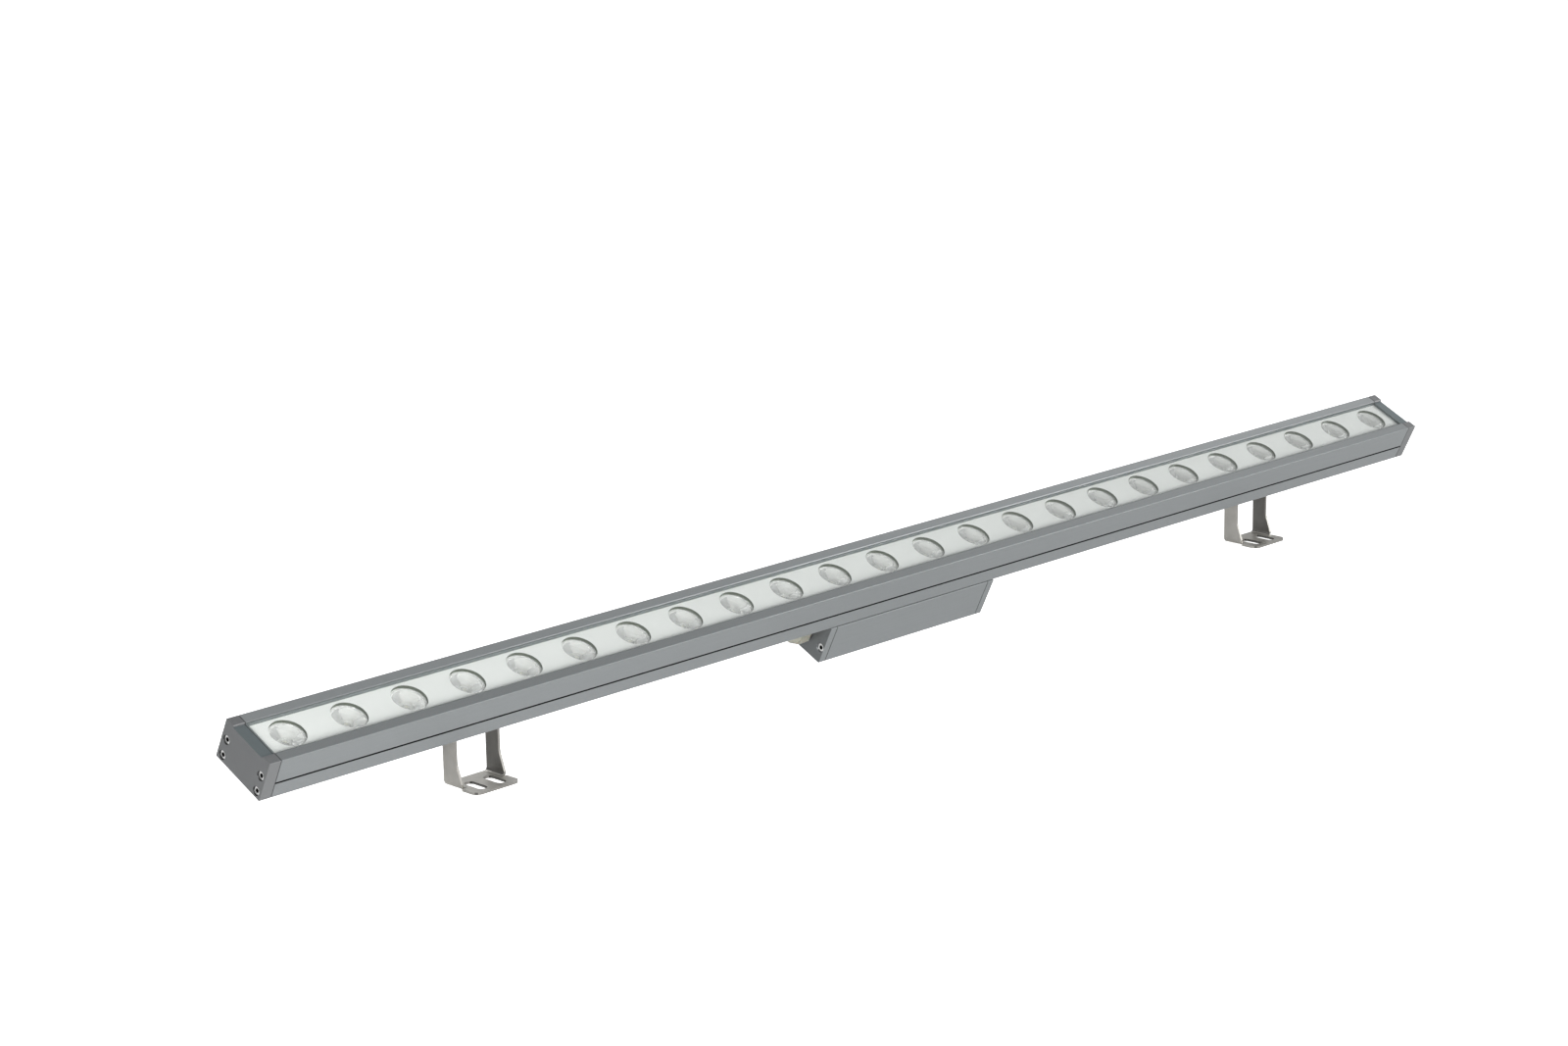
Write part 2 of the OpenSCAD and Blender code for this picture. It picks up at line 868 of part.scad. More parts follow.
module driver_pad() {
    color(rubber)
        on_lamp()
            difference() {
                slab(driver_l - 2 * pad_inset, driver_w - 2 * pad_inset, case_top_n, 0);
                translate([feed_x, 0, case_top_n - small])
                    cylinder(r = bush_r + pass_gap, h = pad_t + 2 * small);
                at_driver_screws()
                    translate([0, 0, case_top_n - small])
                        cylinder(r = clamp_r + pass_gap, h = pad_t + 2 * small);
            }
}

module driver_end() {
    outer = driver_l / 2;
    difference() {
        sweep_x(outer - end_t, outer)
            translate([0, case_bottom_n])
                rounded_rect(driver_w, driver_h, edge_r);
        sweep_x(outer - end_t - small, outer + small)
            at_end_screws()
                circle(cap_screw_r + pass_gap);
        sweep_x(outer - cap_head_h - cap_head_sink, outer + small)
            at_end_screws()
                circle(cap_head_r + head_gap);
    }
}

module driver_end_right() {
    color(cap_grey)
        on_lamp()
            driver_end();
}

module driver_end_left() {
    color(cap_grey)
        on_lamp()
            difference() {
                mirror([1, 0, 0])
                    driver_end();
                translate([0, 0, gland_n])
                    rod_x(-driver_l / 2 - small, -driver_l / 2 + end_t + small, gland_r + pass_gap);
            }
}

module driver_gasket() {
    near = driver_l / 2 - end_t - gasket_t;
    sweep_x(near, near + gasket_t)
        difference() {
            translate([0, case_bottom_n + gasket_inset])
                rounded_rect(driver_w - 2 * gasket_inset, driver_h - 2 * gasket_inset, edge_r);
            difference() {
                translate([-case_inner_w / 2, case_bottom_n + case_wall])
                    square([case_inner_w, driver_h - 2 * case_wall]);
                at_end_screws()
                    circle(end_boss_r);
            }
            at_end_screws()
                circle(cap_screw_r + pass_gap);
        }
}

module driver_gaskets() {
    color(rubber)
        on_lamp()
            for (side = [0, 1])
                mirror([side, 0, 0])
                    driver_gasket();
}

module driver_end_screws() {
    color(bright_steel)
        on_lamp()
            for (end = [0, 1], side = [-1, 1])
                mirror([end, 0, 0])
                    translate([0, side * end_screw_v, end_screw_n])
                        socket_screw(driver_l / 2 - cap_head_sink,
                            end_t - cap_head_h - cap_head_sink + gasket_t + cap_bite,
                            cap_screw_r, cap_head_r, cap_head_h, cap_hex_w);
}

// T-nuts, clamping screws and the pieces inside the driver box

// A T-shaped nut for the slot; its shoulders stand off the slot's lips by the given gap
module t_nut(l, gap) {
    difference() {
        union() {
            slab(l, slot_w - 4 * slide_gap, slide_gap, slot_lip + gap + small);
            slab(l, channel_w - 4 * slide_gap, slot_lip + gap, slot_lip + channel_h - slide_gap);
        }
        translate([0, 0, -small])
            cylinder(r = clamp_r + thread_gap, h = slot_lip + channel_h);
    }
}

// A socket screw pointing up, with the underside of its head at the given height
module clamp_screw(seat_n) {
    tip_n = slot_lip + channel_h - 2 * slide_gap;
    difference() {
        union() {
            translate([0, 0, seat_n - clamp_head_h])
                cylinder(r = clamp_head_r, h = clamp_head_h);
            translate([0, 0, seat_n - small])
                cylinder(r = clamp_r, h = tip_n - seat_n + small);
        }
        hex_z(seat_n - clamp_head_h - small, seat_n - clamp_head_h * (1 - socket_share), clamp_hex_w);
    }
}

module driver_t_nuts() {
    color(bright_steel)
        on_lamp()
            at_driver_screws()
                t_nut(nut_l, 0);
}

module driver_mount_screws() {
    color(bright_steel)
        on_lamp()
            at_driver_screws()
                clamp_screw(case_top_n - case_wall);
}

module driver_board() {
    color(board_green)
        on_lamp()
            slab(driver_board_l, driver_board_w, driver_board_n, driver_deck_n);
}

// A ferrite core of two E halves round a wound bobbin
module transformer() {
    core_l = 22;
    core_w = 18;
    core_h = 13;
    limb = 4;
    winding_gap = 1;
    color("#3b3a38")
        on_lamp()
            translate([transformer_x, 0, driver_deck_n]) {
                difference() {
                    translate([-core_l / 2, -core_w / 2, 0])
                        cube([core_l, core_w, core_h]);
                    translate([limb - core_l / 2, -core_w / 2 - small, limb])
                        cube([core_l - 2 * limb, core_w + 2 * small, core_h - 2 * limb + small]);
                }
                translate([0, 0, limb - small])
                    cylinder(r = core_l / 2 - limb - winding_gap, h = core_h - 2 * limb + 2 * small);
            }
}

module filter_capacitors() {
    can_r = 4.5;
    can_h = 12;
    bead_h = 1;
    bead_rise = 0.3;
    bead_r = can_r + bead_rise;
    color("#39414f")
        on_lamp()
            for (side = [-1, 1])
                translate([capacitor_x, side * capacitor_v, driver_deck_n]) {
                    cylinder(r = can_r, h = can_h);
                    translate([0, 0, bead_h])
                        cylinder(r = bead_r, h = bead_h);
                }
}

module choke() {
    ring_r = 5;
    wire_ring_r = 2.6;
    color("#7a4a25")
        on_lamp()
            translate([choke_x, 0, driver_deck_n + wire_ring_r])
                rotate_extrude()
                    translate([ring_r, 0])
                        circle(wire_ring_r);
}

module terminal_block() {
    block_d = 8;
    block_v = 16;
    block_h = 10;
    ways = 3;
    way_pitch = 5;
    screw_hole_r = 1.6;
    color("#2f7a4d")
        on_lamp()
            translate([block_d / 2 - driver_board_l / 2 + terminal_inset, 0, driver_deck_n])
                difference() {
                    translate([-block_d / 2, -block_v / 2, 0])
                        cube([block_d, block_v, block_h]);
                    for (i = [0 : ways - 1])
                        translate([0, (i - (ways - 1) / 2) * way_pitch, 0]) {
                            translate([0, 0, block_h / 2])
                                cylinder(r = screw_hole_r, h = block_h);
                            translate([-block_d, -screw_hole_r, block_h / 4])
                                cube([block_d, 2 * screw_hole_r, 2 * screw_hole_r]);
                        }
                }
}

// Cable gland in the driver's left end plate; its own frame has the plate's face at zero
// and points outward along +X

module gland_place() {
    on_lamp()
        translate([-driver_l / 2, 0, gland_n])
            mirror([1, 0, 0])
                children();
}

module gland_ring() {
    color(rubber)
        gland_place()
            difference() {
                rod_x(0, gland_ring_t, gland_hex_w / 2);
                rod_x(-small, gland_ring_t + small, gland_r + pass_gap);
            }
}

module gland_body() {
    color(cream)
        gland_place()
            difference() {
                union() {
                    rod_x(gland_tail_x, gland_ring_t + small, gland_r);
                    hex_x(gland_ring_t, gland_flange_x, gland_hex_w);
                    rod_x(gland_flange_x - small, gland_seal_x, gland_neck_r);
                }
                rod_x(gland_tail_x - small, gland_seal_x + small, cable_r + gland_bore_wall);
            }
}

module gland_locknut() {
    color(cream)
        gland_place()
            difference() {
                hex_x(-end_t - locknut_t, -end_t, gland_hex_w);
                rod_x(-end_t - locknut_t - small, -end_t + small, gland_r + thread_gap);
            }
}

module gland_seal() {
    color(rubber)
        gland_place()
            difference() {
                rod_x(gland_seal_x, gland_seal_end_x, gland_seal_r);
                rod_x(gland_seal_x - small, gland_seal_end_x + small, cable_r);
            }
}

// The clamping nut: a hexagon with grip ribs, tapering to a dome over the seal
module gland_nut() {
    grip_l = 5;
    grip_step = 0.5;
    grip_w = gland_hex_w + 2 * grip_step;
    corner_reach = 0.9;
    corner_r = grip_w / 2 + corner_reach;
    rib_r = 0.8;
    rib_count = 18;
    rib_margin = 0.6;
    rib_sink = 0.3;
    rib_seat_r = grip_w / 2 - rib_sink;
    thread_room = 0.3;
    dome_l = gland_nut_l - grip_l;
    dome_root_r = gland_hex_w / 2;
    tip_wall = 1.9;
    tip_r = cable_r + tip_wall;
    // Shares of the dome's length, and of its fall in radius at each of them
    dome_steps = [[0, 0], [0.2, 0.16], [0.4, 0.48], [0.8, 0.77], [1, 1]];
    dome_edge = [for (step = dome_steps) [dome_root_r - step[1] * (dome_root_r - tip_r), step[0] * dome_l]];
    color(cream)
        gland_place()
            difference() {
                union() {
                    intersection() {
                        hex_x(gland_nut_x, gland_nut_x + grip_l, grip_w);
                        rod_x(gland_nut_x, gland_nut_x + grip_l, corner_r);
                    }
                    translate([gland_nut_x + grip_l - small, 0, 0])
                        rotate([0, 90, 0])
                            rotate_extrude()
                                polygon(concat([[0, 0]], dome_edge, [[0, dome_l]]));
                    for (i = [0 : rib_count - 1])
                        rotate([i * 360 / rib_count, 0, 0])
                            translate([0, 0, rib_seat_r])
                                rod_x(gland_nut_x + rib_margin, gland_nut_x + grip_l - rib_margin, rib_r);
                }
                rod_x(gland_nut_x - small, gland_seal_x + thread_room, gland_neck_r + thread_gap);
                rod_x(gland_nut_x, gland_seal_end_x, gland_seal_r + thread_gap);
                rod_x(gland_nut_x, gland_end_x + small, gland_mouth_r);
            }
}

// Sliding pivot carriers, drawn about their own middle

module pivot_block() {
    difference() {
        sweep_x(-block_l / 2, block_l / 2) {
            translate([-block_w / 2, -slide_gap - block_foot_t])
                square([block_w, block_foot_t]);
            translate([-boss_r, -pivot_drop])
                square([2 * boss_r, pivot_drop - slide_gap]);
            translate([0, -pivot_drop])
                circle(boss_r);
        }
        for (side = [0, 1])
            mirror([side, 0, 0])
                translate([0, 0, -pivot_drop])
                    rod_x(block_l / 2 - pivot_bite - thread_gap, block_l / 2 + small, pivot_r + thread_gap);
        translate([0, 0, -pivot_drop - boss_r - small])
            cylinder(r = clamp_head_r + head_gap, h = clamp_seat_n + pivot_drop + boss_r + small);
        translate([0, 0, -pivot_drop - boss_r])
            cylinder(r = clamp_r + pass_gap, h = pivot_drop + boss_r + small);
    }
}

module pivot_screws() {
    head_x = bracket_w / 2 + lock_t + 2 * side_gap;
    for (side = [0, 1])
        mirror([side, 0, 0])
            translate([0, 0, -pivot_drop])
                socket_screw(head_x + pivot_head_h, head_x - block_l / 2 + pivot_bite,
                    pivot_r, pivot_head_r, pivot_head_h, pivot_hex_w);
}

module washer_pair(from, t) {
    for (side = [0, 1])
        mirror([side, 0, 0])
            translate([0, 0, -pivot_drop])
                difference() {
                    rod_x(from, from + t, washer_r);
                    rod_x(from - small, from + t + small, pivot_r + thread_gap);
                }
}

// The bent foot bracket, drawn standing on the mounting surface

// The legs seen from the side: round at the tilt axis, widening forward above the bend
module leg_side_section() {
    difference() {
        union() {
            translate([0, pivot_h])
                circle(leg_w / 2);
            translate([leg_foot_y, 0])
                square([leg_w / 2 - leg_foot_y, pivot_h]);
        }
        polygon([
            [leg_foot_y, outer_bend],
            [leg_front_y - flare_ease * sin(flare_angle), flare_h - flare_ease * cos(flare_angle)],
            [leg_front_y, flare_h + flare_ease],
            [leg_front_y, pivot_h],
            [leg_foot_y - small, pivot_h],
            [leg_foot_y - small, outer_bend]
        ]);
        translate([leg_front_y - flare_r, flare_h + flare_ease])
            circle(flare_r, $fn = 180);
    }
}

// The bent sheet seen from the front: a U with rounded bends, open above the legs
module bent_section() {
    leg_top = pivot_h + leg_w;
    difference() {
        rounded_rect(bracket_w, leg_top + 2 * outer_bend, outer_bend);
        translate([0, sheet_t])
            rounded_rect(2 * leg_x, leg_top + 2 * outer_bend, bend_r);
    }
}

module foot_outline() {
    rear_y = leg_foot_y - relief_r;
    neck_w = 2 * (leg_x - bend_r - relief_r);
    translate([-bracket_w / 2, foot_corner_r - foot_reach])
        square([bracket_w, foot_reach - foot_corner_r + rear_y]);
    translate([foot_corner_r - bracket_w / 2, -foot_reach])
        square([bracket_w - 2 * foot_corner_r, foot_corner_r + foot_bond]);
    for (side = [-1, 1])
        translate([side * (bracket_w / 2 - foot_corner_r), foot_corner_r - foot_reach])
            circle(foot_corner_r);
    translate([-neck_w / 2, rear_y - foot_bond])
        square([neck_w, relief_r + 2 * foot_bond]);
}

module fixing_slot() {
    linear_extrude(sheet_t + 2 * small) {
        square([fix_slot_w, fix_slot_l - fix_slot_w], center = true);
        for (end = [-1, 1])
            translate([0, end * (fix_slot_l - fix_slot_w) / 2])
                circle(fix_slot_w / 2);
    }
}

module bracket() {
    difference() {
        union() {
            intersection() {
                rotate([90, 0, 0])
                    translate([0, 0, -leg_w])
                        linear_extrude(2 * leg_w + flare)
                            bent_section();
                sweep_x(-bracket_w, bracket_w)
                    leg_side_section();
            }
            linear_extrude(sheet_t)
                foot_outline();
        }
        translate([0, 0, pivot_h])
            rod_x(-bracket_w, bracket_w, pivot_r + run_gap);
        for (side = [-1, 1])
            translate([side * fix_slot_pitch / 2, -fix_slot_reach, -small])
                fixing_slot();
    }
}

// Left and right carriers and brackets

module t_nut_left() {
    color(bright_steel)
        on_lamp()
            translate([bracket_left_x, 0, 0])
                t_nut(nut_l, slide_gap);
}

module t_nut_right() {
    color(bright_steel)
        on_lamp()
            translate([bracket_right_x, 0, 0])
                t_nut(nut_l, slide_gap);
}

module pivot_block_left() {
    color(cap_grey)
        on_lamp()
            translate([bracket_left_x, 0, 0])
                pivot_block();
}

module pivot_block_right() {
    color(cap_grey)
        on_lamp()
            translate([bracket_right_x, 0, 0])
                pivot_block();
}

module clamp_screw_left() {
    color(bright_steel)
        on_lamp()
            translate([bracket_left_x, 0, 0])
                clamp_screw(clamp_seat_n);
}

module clamp_screw_right() {
    color(bright_steel)
        on_lamp()
            translate([bracket_right_x, 0, 0])
                clamp_screw(clamp_seat_n);
}

module nylon_washers_left() {
    color(nylon)
        on_lamp()
            translate([bracket_left_x, 0, 0])
                washer_pair(block_l / 2, nylon_t);
}

module nylon_washers_right() {
    color(nylon)
        on_lamp()
            translate([bracket_right_x, 0, 0])
                washer_pair(block_l / 2, nylon_t);
}

module lock_washers_left() {
    color(bright_steel)
        on_lamp()
            translate([bracket_left_x, 0, 0])
                washer_pair(bracket_w / 2 + side_gap, lock_t);
}

module lock_washers_right() {
    color(bright_steel)
        on_lamp()
            translate([bracket_right_x, 0, 0])
                washer_pair(bracket_w / 2 + side_gap, lock_t);
}

module pivot_screws_left() {
    color(bright_steel)
        on_lamp()
            translate([bracket_left_x, 0, 0])
                pivot_screws();
}

module pivot_screws_right() {
    color(bright_steel)
        on_lamp()
            translate([bracket_right_x, 0, 0])
                pivot_screws();
}

module bracket_left() {
    color(stainless)
        translate([bracket_left_x, 0, 0])
            bracket();
}

module bracket_right() {
    color(stainless)
        translate([bracket_right_x, 0, 0])
            bracket();
}

housing();
end_cap_left();
end_cap_right();
end_gasket_left();
end_gasket_right();
cap_screws_left();
cap_screws_right();
front_glass();
glass_seal();
lens_plate();
lenses();
lens_holders();
led_emitters();
led_boards();
board_screws();
board_jumpers();
feed_bush();
feed_nut();
feed_wires();
driver_case();
driver_pad();
driver_end_left();
driver_end_right();
driver_gaskets();
driver_end_screws();
driver_mount_screws();
driver_t_nuts();
driver_board();
transformer();
filter_capacitors();
choke();
terminal_block();
gland_body();
gland_ring();
gland_locknut();
gland_seal();
gland_nut();
t_nut_left();
t_nut_right();
pivot_block_left();
pivot_block_right();
clamp_screw_left();
clamp_screw_right();
nylon_washers_left();
nylon_washers_right();
lock_washers_left();
lock_washers_right();
pivot_screws_left();
pivot_screws_right();
bracket_left();
bracket_right();
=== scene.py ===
"""Looks of a linear outdoor wall washer: finishes, bead, choke winding, studio and camera."""

import json
import math

import bmesh
import bpy
from bpy.props import FloatProperty, FloatVectorProperty, IntProperty, PointerProperty
from mathutils import Matrix, Vector


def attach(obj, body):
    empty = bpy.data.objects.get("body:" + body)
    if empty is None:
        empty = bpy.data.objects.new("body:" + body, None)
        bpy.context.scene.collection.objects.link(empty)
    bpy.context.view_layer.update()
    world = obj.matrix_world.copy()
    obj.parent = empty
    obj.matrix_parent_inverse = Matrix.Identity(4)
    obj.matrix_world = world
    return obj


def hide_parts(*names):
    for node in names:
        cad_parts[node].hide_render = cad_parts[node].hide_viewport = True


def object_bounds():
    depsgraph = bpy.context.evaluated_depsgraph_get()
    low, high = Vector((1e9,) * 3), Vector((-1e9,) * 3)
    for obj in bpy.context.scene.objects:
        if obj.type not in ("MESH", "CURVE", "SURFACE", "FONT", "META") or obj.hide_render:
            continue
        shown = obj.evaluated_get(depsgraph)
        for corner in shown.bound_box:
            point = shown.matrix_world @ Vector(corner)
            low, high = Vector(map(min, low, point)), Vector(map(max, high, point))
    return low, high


bl_info = {
    "name": "Wall Washer Looks",
    "version": (1, 0, 0),
    "blender": (4, 5, 0),
    "location": "View3D > Sidebar > Washer",
    "description": "Dresses a linear outdoor wall washer and sets its studio",
    "category": "Object",
}

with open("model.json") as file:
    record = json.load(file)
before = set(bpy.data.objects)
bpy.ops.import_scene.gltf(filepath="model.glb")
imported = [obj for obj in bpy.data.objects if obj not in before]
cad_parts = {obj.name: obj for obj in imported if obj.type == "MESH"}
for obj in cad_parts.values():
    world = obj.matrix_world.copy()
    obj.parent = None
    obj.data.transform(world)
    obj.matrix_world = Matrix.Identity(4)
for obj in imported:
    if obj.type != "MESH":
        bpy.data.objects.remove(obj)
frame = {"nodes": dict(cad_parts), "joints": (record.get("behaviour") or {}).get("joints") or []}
cad_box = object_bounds()
NODES = frame["nodes"]
LAMP = "lamp"
MM = 0.001
# The joints that the left and the right bracket turn on
HINGES = [joint for joint in frame["joints"] if joint["type"] == "hinge"]
# A bracket turns as far one way as the other from square to the lamp, so the middle of its
# range is the lamp's tilt
TILT = math.radians(sum(HINGES[0]["range_deg"]) / 2)
PIVOT_HEIGHT = HINGES[0]["pos_m"][2]
UNDERSIDE_ABOVE_PIVOT = 7 * MM
ALONG, ACROSS, UPRIGHT = (1, 0, 0), (0, 1, 0), (0, 0, 1)
LAMP_ACROSS = (0, math.cos(TILT), math.sin(TILT))
LAMP_UP = (0, -math.sin(TILT), math.cos(TILT))
# The lamp's own frame: X along the lamp, Y across it, Z up from its underside
LAMP_FRAME = (
    Matrix.Translation((0, 0, PIVOT_HEIGHT)) @ Matrix.Rotation(TILT, 4, "X")
    @ Matrix.Translation((0, 0, UNDERSIDE_ABOVE_PIVOT))
)


def lamp_box(name):
    """Lowest and highest corner of a CAD node in the lamp's own frame."""
    to_lamp = LAMP_FRAME.inverted()
    points = [to_lamp @ v.co for v in NODES[name].data.vertices]
    return [Vector([pick(p[i] for p in points) for i in range(3)]) for pick in (min, max)]


# Settings

def colour_setting(name, description, default):
    return FloatVectorProperty(
        name=name, description=description, default=default,
        size=3, min=0, max=1, subtype="COLOR",
    )


def share_setting(name, description, default):
    return FloatProperty(
        name=name, description=description, default=default, min=0, max=1, subtype="FACTOR",
    )


def length_setting(name, description, default):
    return FloatProperty(name=name, description=description, default=default, min=0, unit="LENGTH")


def place_setting(name, description, default):
    return FloatVectorProperty(
        name=name, description=description, default=default,
        size=3, subtype="TRANSLATION", unit="LENGTH",
    )


def angle_setting(name, description, degrees):
    return FloatProperty(
        name=name, description=description, default=math.radians(degrees), subtype="ANGLE",
    )


def power_setting(name, description, default):
    return FloatProperty(name=name, description=description, default=default, min=0, unit="POWER")


def strength_setting(name, description, default):
    return FloatProperty(name=name, description=description, default=default, min=0)


class WasherFinishes(bpy.types.PropertyGroup):
    """Colours and gloss of the lamp's surfaces, with the painted shade and painted light on them"""

    anodised: colour_setting(
        "Anodised aluminium", "Colour of the extruded housing and driver box",
        (0.232, 0.245, 0.249),
    )
    anodised_roughness: share_setting("Anodised roughness", "Roughness of the anodised skin", 0.42)
    # Painted shade: how much colour the groove keeps
    groove_painted_shade: share_setting("Groove shade", "Share of colour kept in the shadow groove", 0)
    # Painted shade on the faces that point along the lamp, such as the driver box's ends
    end_painted_shade: share_setting("End shade", "Share of colour kept on the driver box's ends", 0.66)
    # Painted light: a lighter colour on the rear lip's top stands in for the light from the room
    # behind the lamp
    rear_lip_painted_light: colour_setting(
        "Rear lip", "Colour of the rear lip, which the room behind the lamp lights",
        (0.29, 0.305, 0.31),
    )
    # Painted shade on the lips' inner walls
    rebate_painted_shade: share_setting(
        "Rebate shade", "Share of colour kept on the lips' inner walls", 0.75,
    )
    cap: colour_setting(
        "Cap aluminium", "Colour of the end caps and pivot blocks", (0.189, 0.193, 0.196),
    )
    # Painted shade: a darker colour on the floor of the caps' recess
    cap_recess_painted_shade: colour_setting(
        "Cap recess", "Colour of the recess across the end caps", (0.152, 0.178, 0.184),
    )
    # Painted shade in the end screws' seats
    seat_painted_shade: share_setting("Seat shade", "Share of colour kept in the end screws' seats", 0.3)
    cap_roughness: share_setting("Cap roughness", "Roughness of the cast caps", 0.46)
    stainless: colour_setting("Stainless steel", "Colour of the foot brackets", (0.84, 0.815, 0.76))
    # Painted shade on the faces that point along the lamp, the legs' outer and inner faces
    leg_painted_shade: share_setting("Leg shade", "Share of colour kept on the legs' outer faces", 0.5)
    # Painted shade, darker still, on the legs' inner faces
    inner_painted_shade: share_setting(
        "Inner shade", "Share of colour kept on the legs' inner faces", 0.36,
    )
    # Painted shade on the sheet's cut edges
    edge_painted_shade: share_setting("Edge shade", "Share of colour kept on the sheet's cut edges", 0.34)
    # Painted shade on the foot's upward faces
    foot_painted_shade: share_setting("Foot shade", "Share of colour kept on the foot", 0.78)
    steel: colour_setting("Screw steel", "Colour of the screws and nuts", (0.82, 0.82, 0.81))
    # Painted shade inside the end screws' sockets
    socket_painted_shade: share_setting("Socket shade", "Share of colour kept in the screws' sockets", 0.06)
    glass_tint: colour_setting("Glass tint", "Faint colour of the glass", (0.975, 0.985, 0.98))
    plate: colour_setting("Lens plate", "Colour of the painted lens plate", (0.73, 0.735, 0.718))
    # Painted shade: a dark colour on the walls of the plate's holes
    plate_hole_painted_shade: colour_setting(
        "Plate edge", "Colour of the painted shade in the plate's holes", (0.085, 0.1, 0.075),
    )
    gland: colour_setting("Gland nylon", "Colour of the cable gland", (0.335, 0.33, 0.275))
    rubber: colour_setting("Rubber", "Colour of the gaskets", (0.045, 0.046, 0.048))
    silicone: colour_setting("Silicone", "Colour of the bead round the glass", (0.16, 0.18, 0.18))


class WasherDetails(bpy.types.PropertyGroup):
    """Sizes of the small detail"""

    winding_wire: length_setting(
        "Winding wire", "Diameter of the enamelled wire on the choke", 0.8 * MM,
    )
    winding_turns: IntProperty(
        name="Winding turns", description="Turns of wire on the choke", default=20, min=8, max=40,
    )
    winding_gap: angle_setting("Winding gap", "Bare part of the choke's core", 40)
    bead_rise: length_setting("Bead rise", "How far the silicone bead crowns", 0.2 * MM)
    bed_width: length_setting("Bed width", "Width of the silicone under the glass's edge", 0.4 * MM)
    # Extents of the painted shade and painted light on the brackets, caps, lips and groove
    leg_inside: length_setting(
        "Leg inside", "From a bracket's middle to just outside its legs' inner faces", 14.9 * MM,
    )
    recess_height: length_setting(
        "Recess height", "Height of the caps' recess above the underside", 24.1 * MM,
    )
    recess_band: length_setting(
        "Recess band", "Height on each side of it that counts as the recess", 0.3 * MM,
    )
    rebate_reach: length_setting(
        "Rebate reach", "From the lamp's middle to the lips' chamfers", 13.6 * MM,
    )
    groove_height: length_setting(
        "Groove height", "Height of the shadow groove above the underside", 9.8 * MM,
    )
    groove_width: length_setting(
        "Groove width", "Width of the shadow groove with its edges", 1.2 * MM,
    )


class WasherStudio(bpy.types.PropertyGroup):
    """Floor, lights and camera"""

    floor_side: length_setting("Floor side", "Side of the square floor", 60.0)
    floor_glow: strength_setting("Floor glow", "Light that the floor adds on the lamp", 0.1)
    sky: strength_setting("Sky", "Strength of the soft light from all round", 0.37)
    key_power: power_setting("Key light", "Power of the soft light at the front right", 15)
    key_place: place_setting("Key place", "Middle of the key light", (1.15, -1.05, 0.55))
    fill_power: power_setting("Fill light", "Power of the soft light at the front left", 13.5)
    fill_place: place_setting("Fill place", "Middle of the fill light", (-0.82, -0.9, 0.35))
    back_power: power_setting("Back light", "Power of the soft light behind the lamp", 7)
    back_place: place_setting("Back place", "Middle of the back light", (0.05, 1.25, 0.4))
    light_side: length_setting("Light side", "Side of the three square soft lights", 0.65)
    rim_power: power_setting(
        "Rim light", "Power of the light on the lips from beyond the right end", 1.2,
    )
    rim_place: place_setting("Rim place", "Middle of the rim light", (1.2, 0.25, 0.82))
    rim_side: length_setting("Rim side", "Side of the rim light", 0.7)
    spark_power: power_setting("Spark lights", "Power of each light that glints in the lenses", 24)
    spark_low: place_setting("Low spark place", "Middle of the lower glint light", (3.7, 1.9, 2.5))
    spark_high: place_setting(
        "High spark place", "Middle of the higher glint light", (2.2, 1.1, 3.2),
    )
    spark_side: length_setting("Spark side", "Side of each glint light", 0.6)
    aim: place_setting("Camera aim", "Point that the camera looks at", (-0.0389, 0.0522, 0.0793))
    distance: length_setting("Camera distance", "From the camera to the aim", 2.3148)
    azimuth: angle_setting("Azimuth", "Camera's turn about the upright axis", -44.87)
    elevation: angle_setting("Elevation", "Camera's height angle", 14.81)
    roll: angle_setting("Roll", "Camera's roll", -0.94)
    lens: FloatProperty(
        name="Lens", description="Focal length on a 36 mm sensor, in millimetres",
        default=86.64, min=10,
    )


# Material building blocks

# Sockets of nodes whose sockets share their names
MIX_COLOUR_A, MIX_COLOUR_B, MIX_COLOUR_OUT = 6, 7, 2
MIX_SHADER_A, MIX_SHADER_B = 1, 2
# Noise mostly stays within this span, so colour and roughness run across it
NOISE_LOW, NOISE_HIGH = 0.3, 0.7
LOWEST_ROUGHNESS = 0.02
# How squarely a surface has to face an axis; the closer shares leave out bends and chamfers
FACING = 0.5
FACING_LEG = 0.6
FACING_FLAT = 0.8
# Stretches of a noise: a number below 1 draws it out along that axis
EVEN = (1, 1, 1)
DRAWN_ALONG = (0.012, 1, 1)
BRUSHED_UP = (1, 1, 0.03)
WIPED_ALONG = (0.1, 1, 1)
WIRE_ALONG = (0.2, 1, 1)


def tree_and_shader(material):
    """A material's node tree and its shader."""
    tree = material.node_tree
    return tree, tree.nodes["Principled BSDF"]


def new_material(name):
    material = bpy.data.materials.new(name)
    material.use_nodes = True
    return material, *tree_and_shader(material)


def coordinate(tree, space):
    """The place ("Object") or the direction ("Normal") of the shaded point."""
    return tree.nodes.new("ShaderNodeTexCoord").outputs[space]


def noise(tree, scale, stretch=EVEN, detail=4, seed=0.0):
    """Noise in the piece's own space."""
    mapping = tree.nodes.new("ShaderNodeMapping")
    mapping.inputs["Location"].default_value = (seed, seed, seed)
    mapping.inputs["Scale"].default_value = stretch
    texture = tree.nodes.new("ShaderNodeTexNoise")
    texture.inputs["Scale"].default_value = scale
    texture.inputs["Detail"].default_value = detail
    tree.links.new(coordinate(tree, "Object"), mapping.inputs["Vector"])
    tree.links.new(mapping.outputs["Vector"], texture.inputs["Vector"])
    return texture.outputs["Fac"]


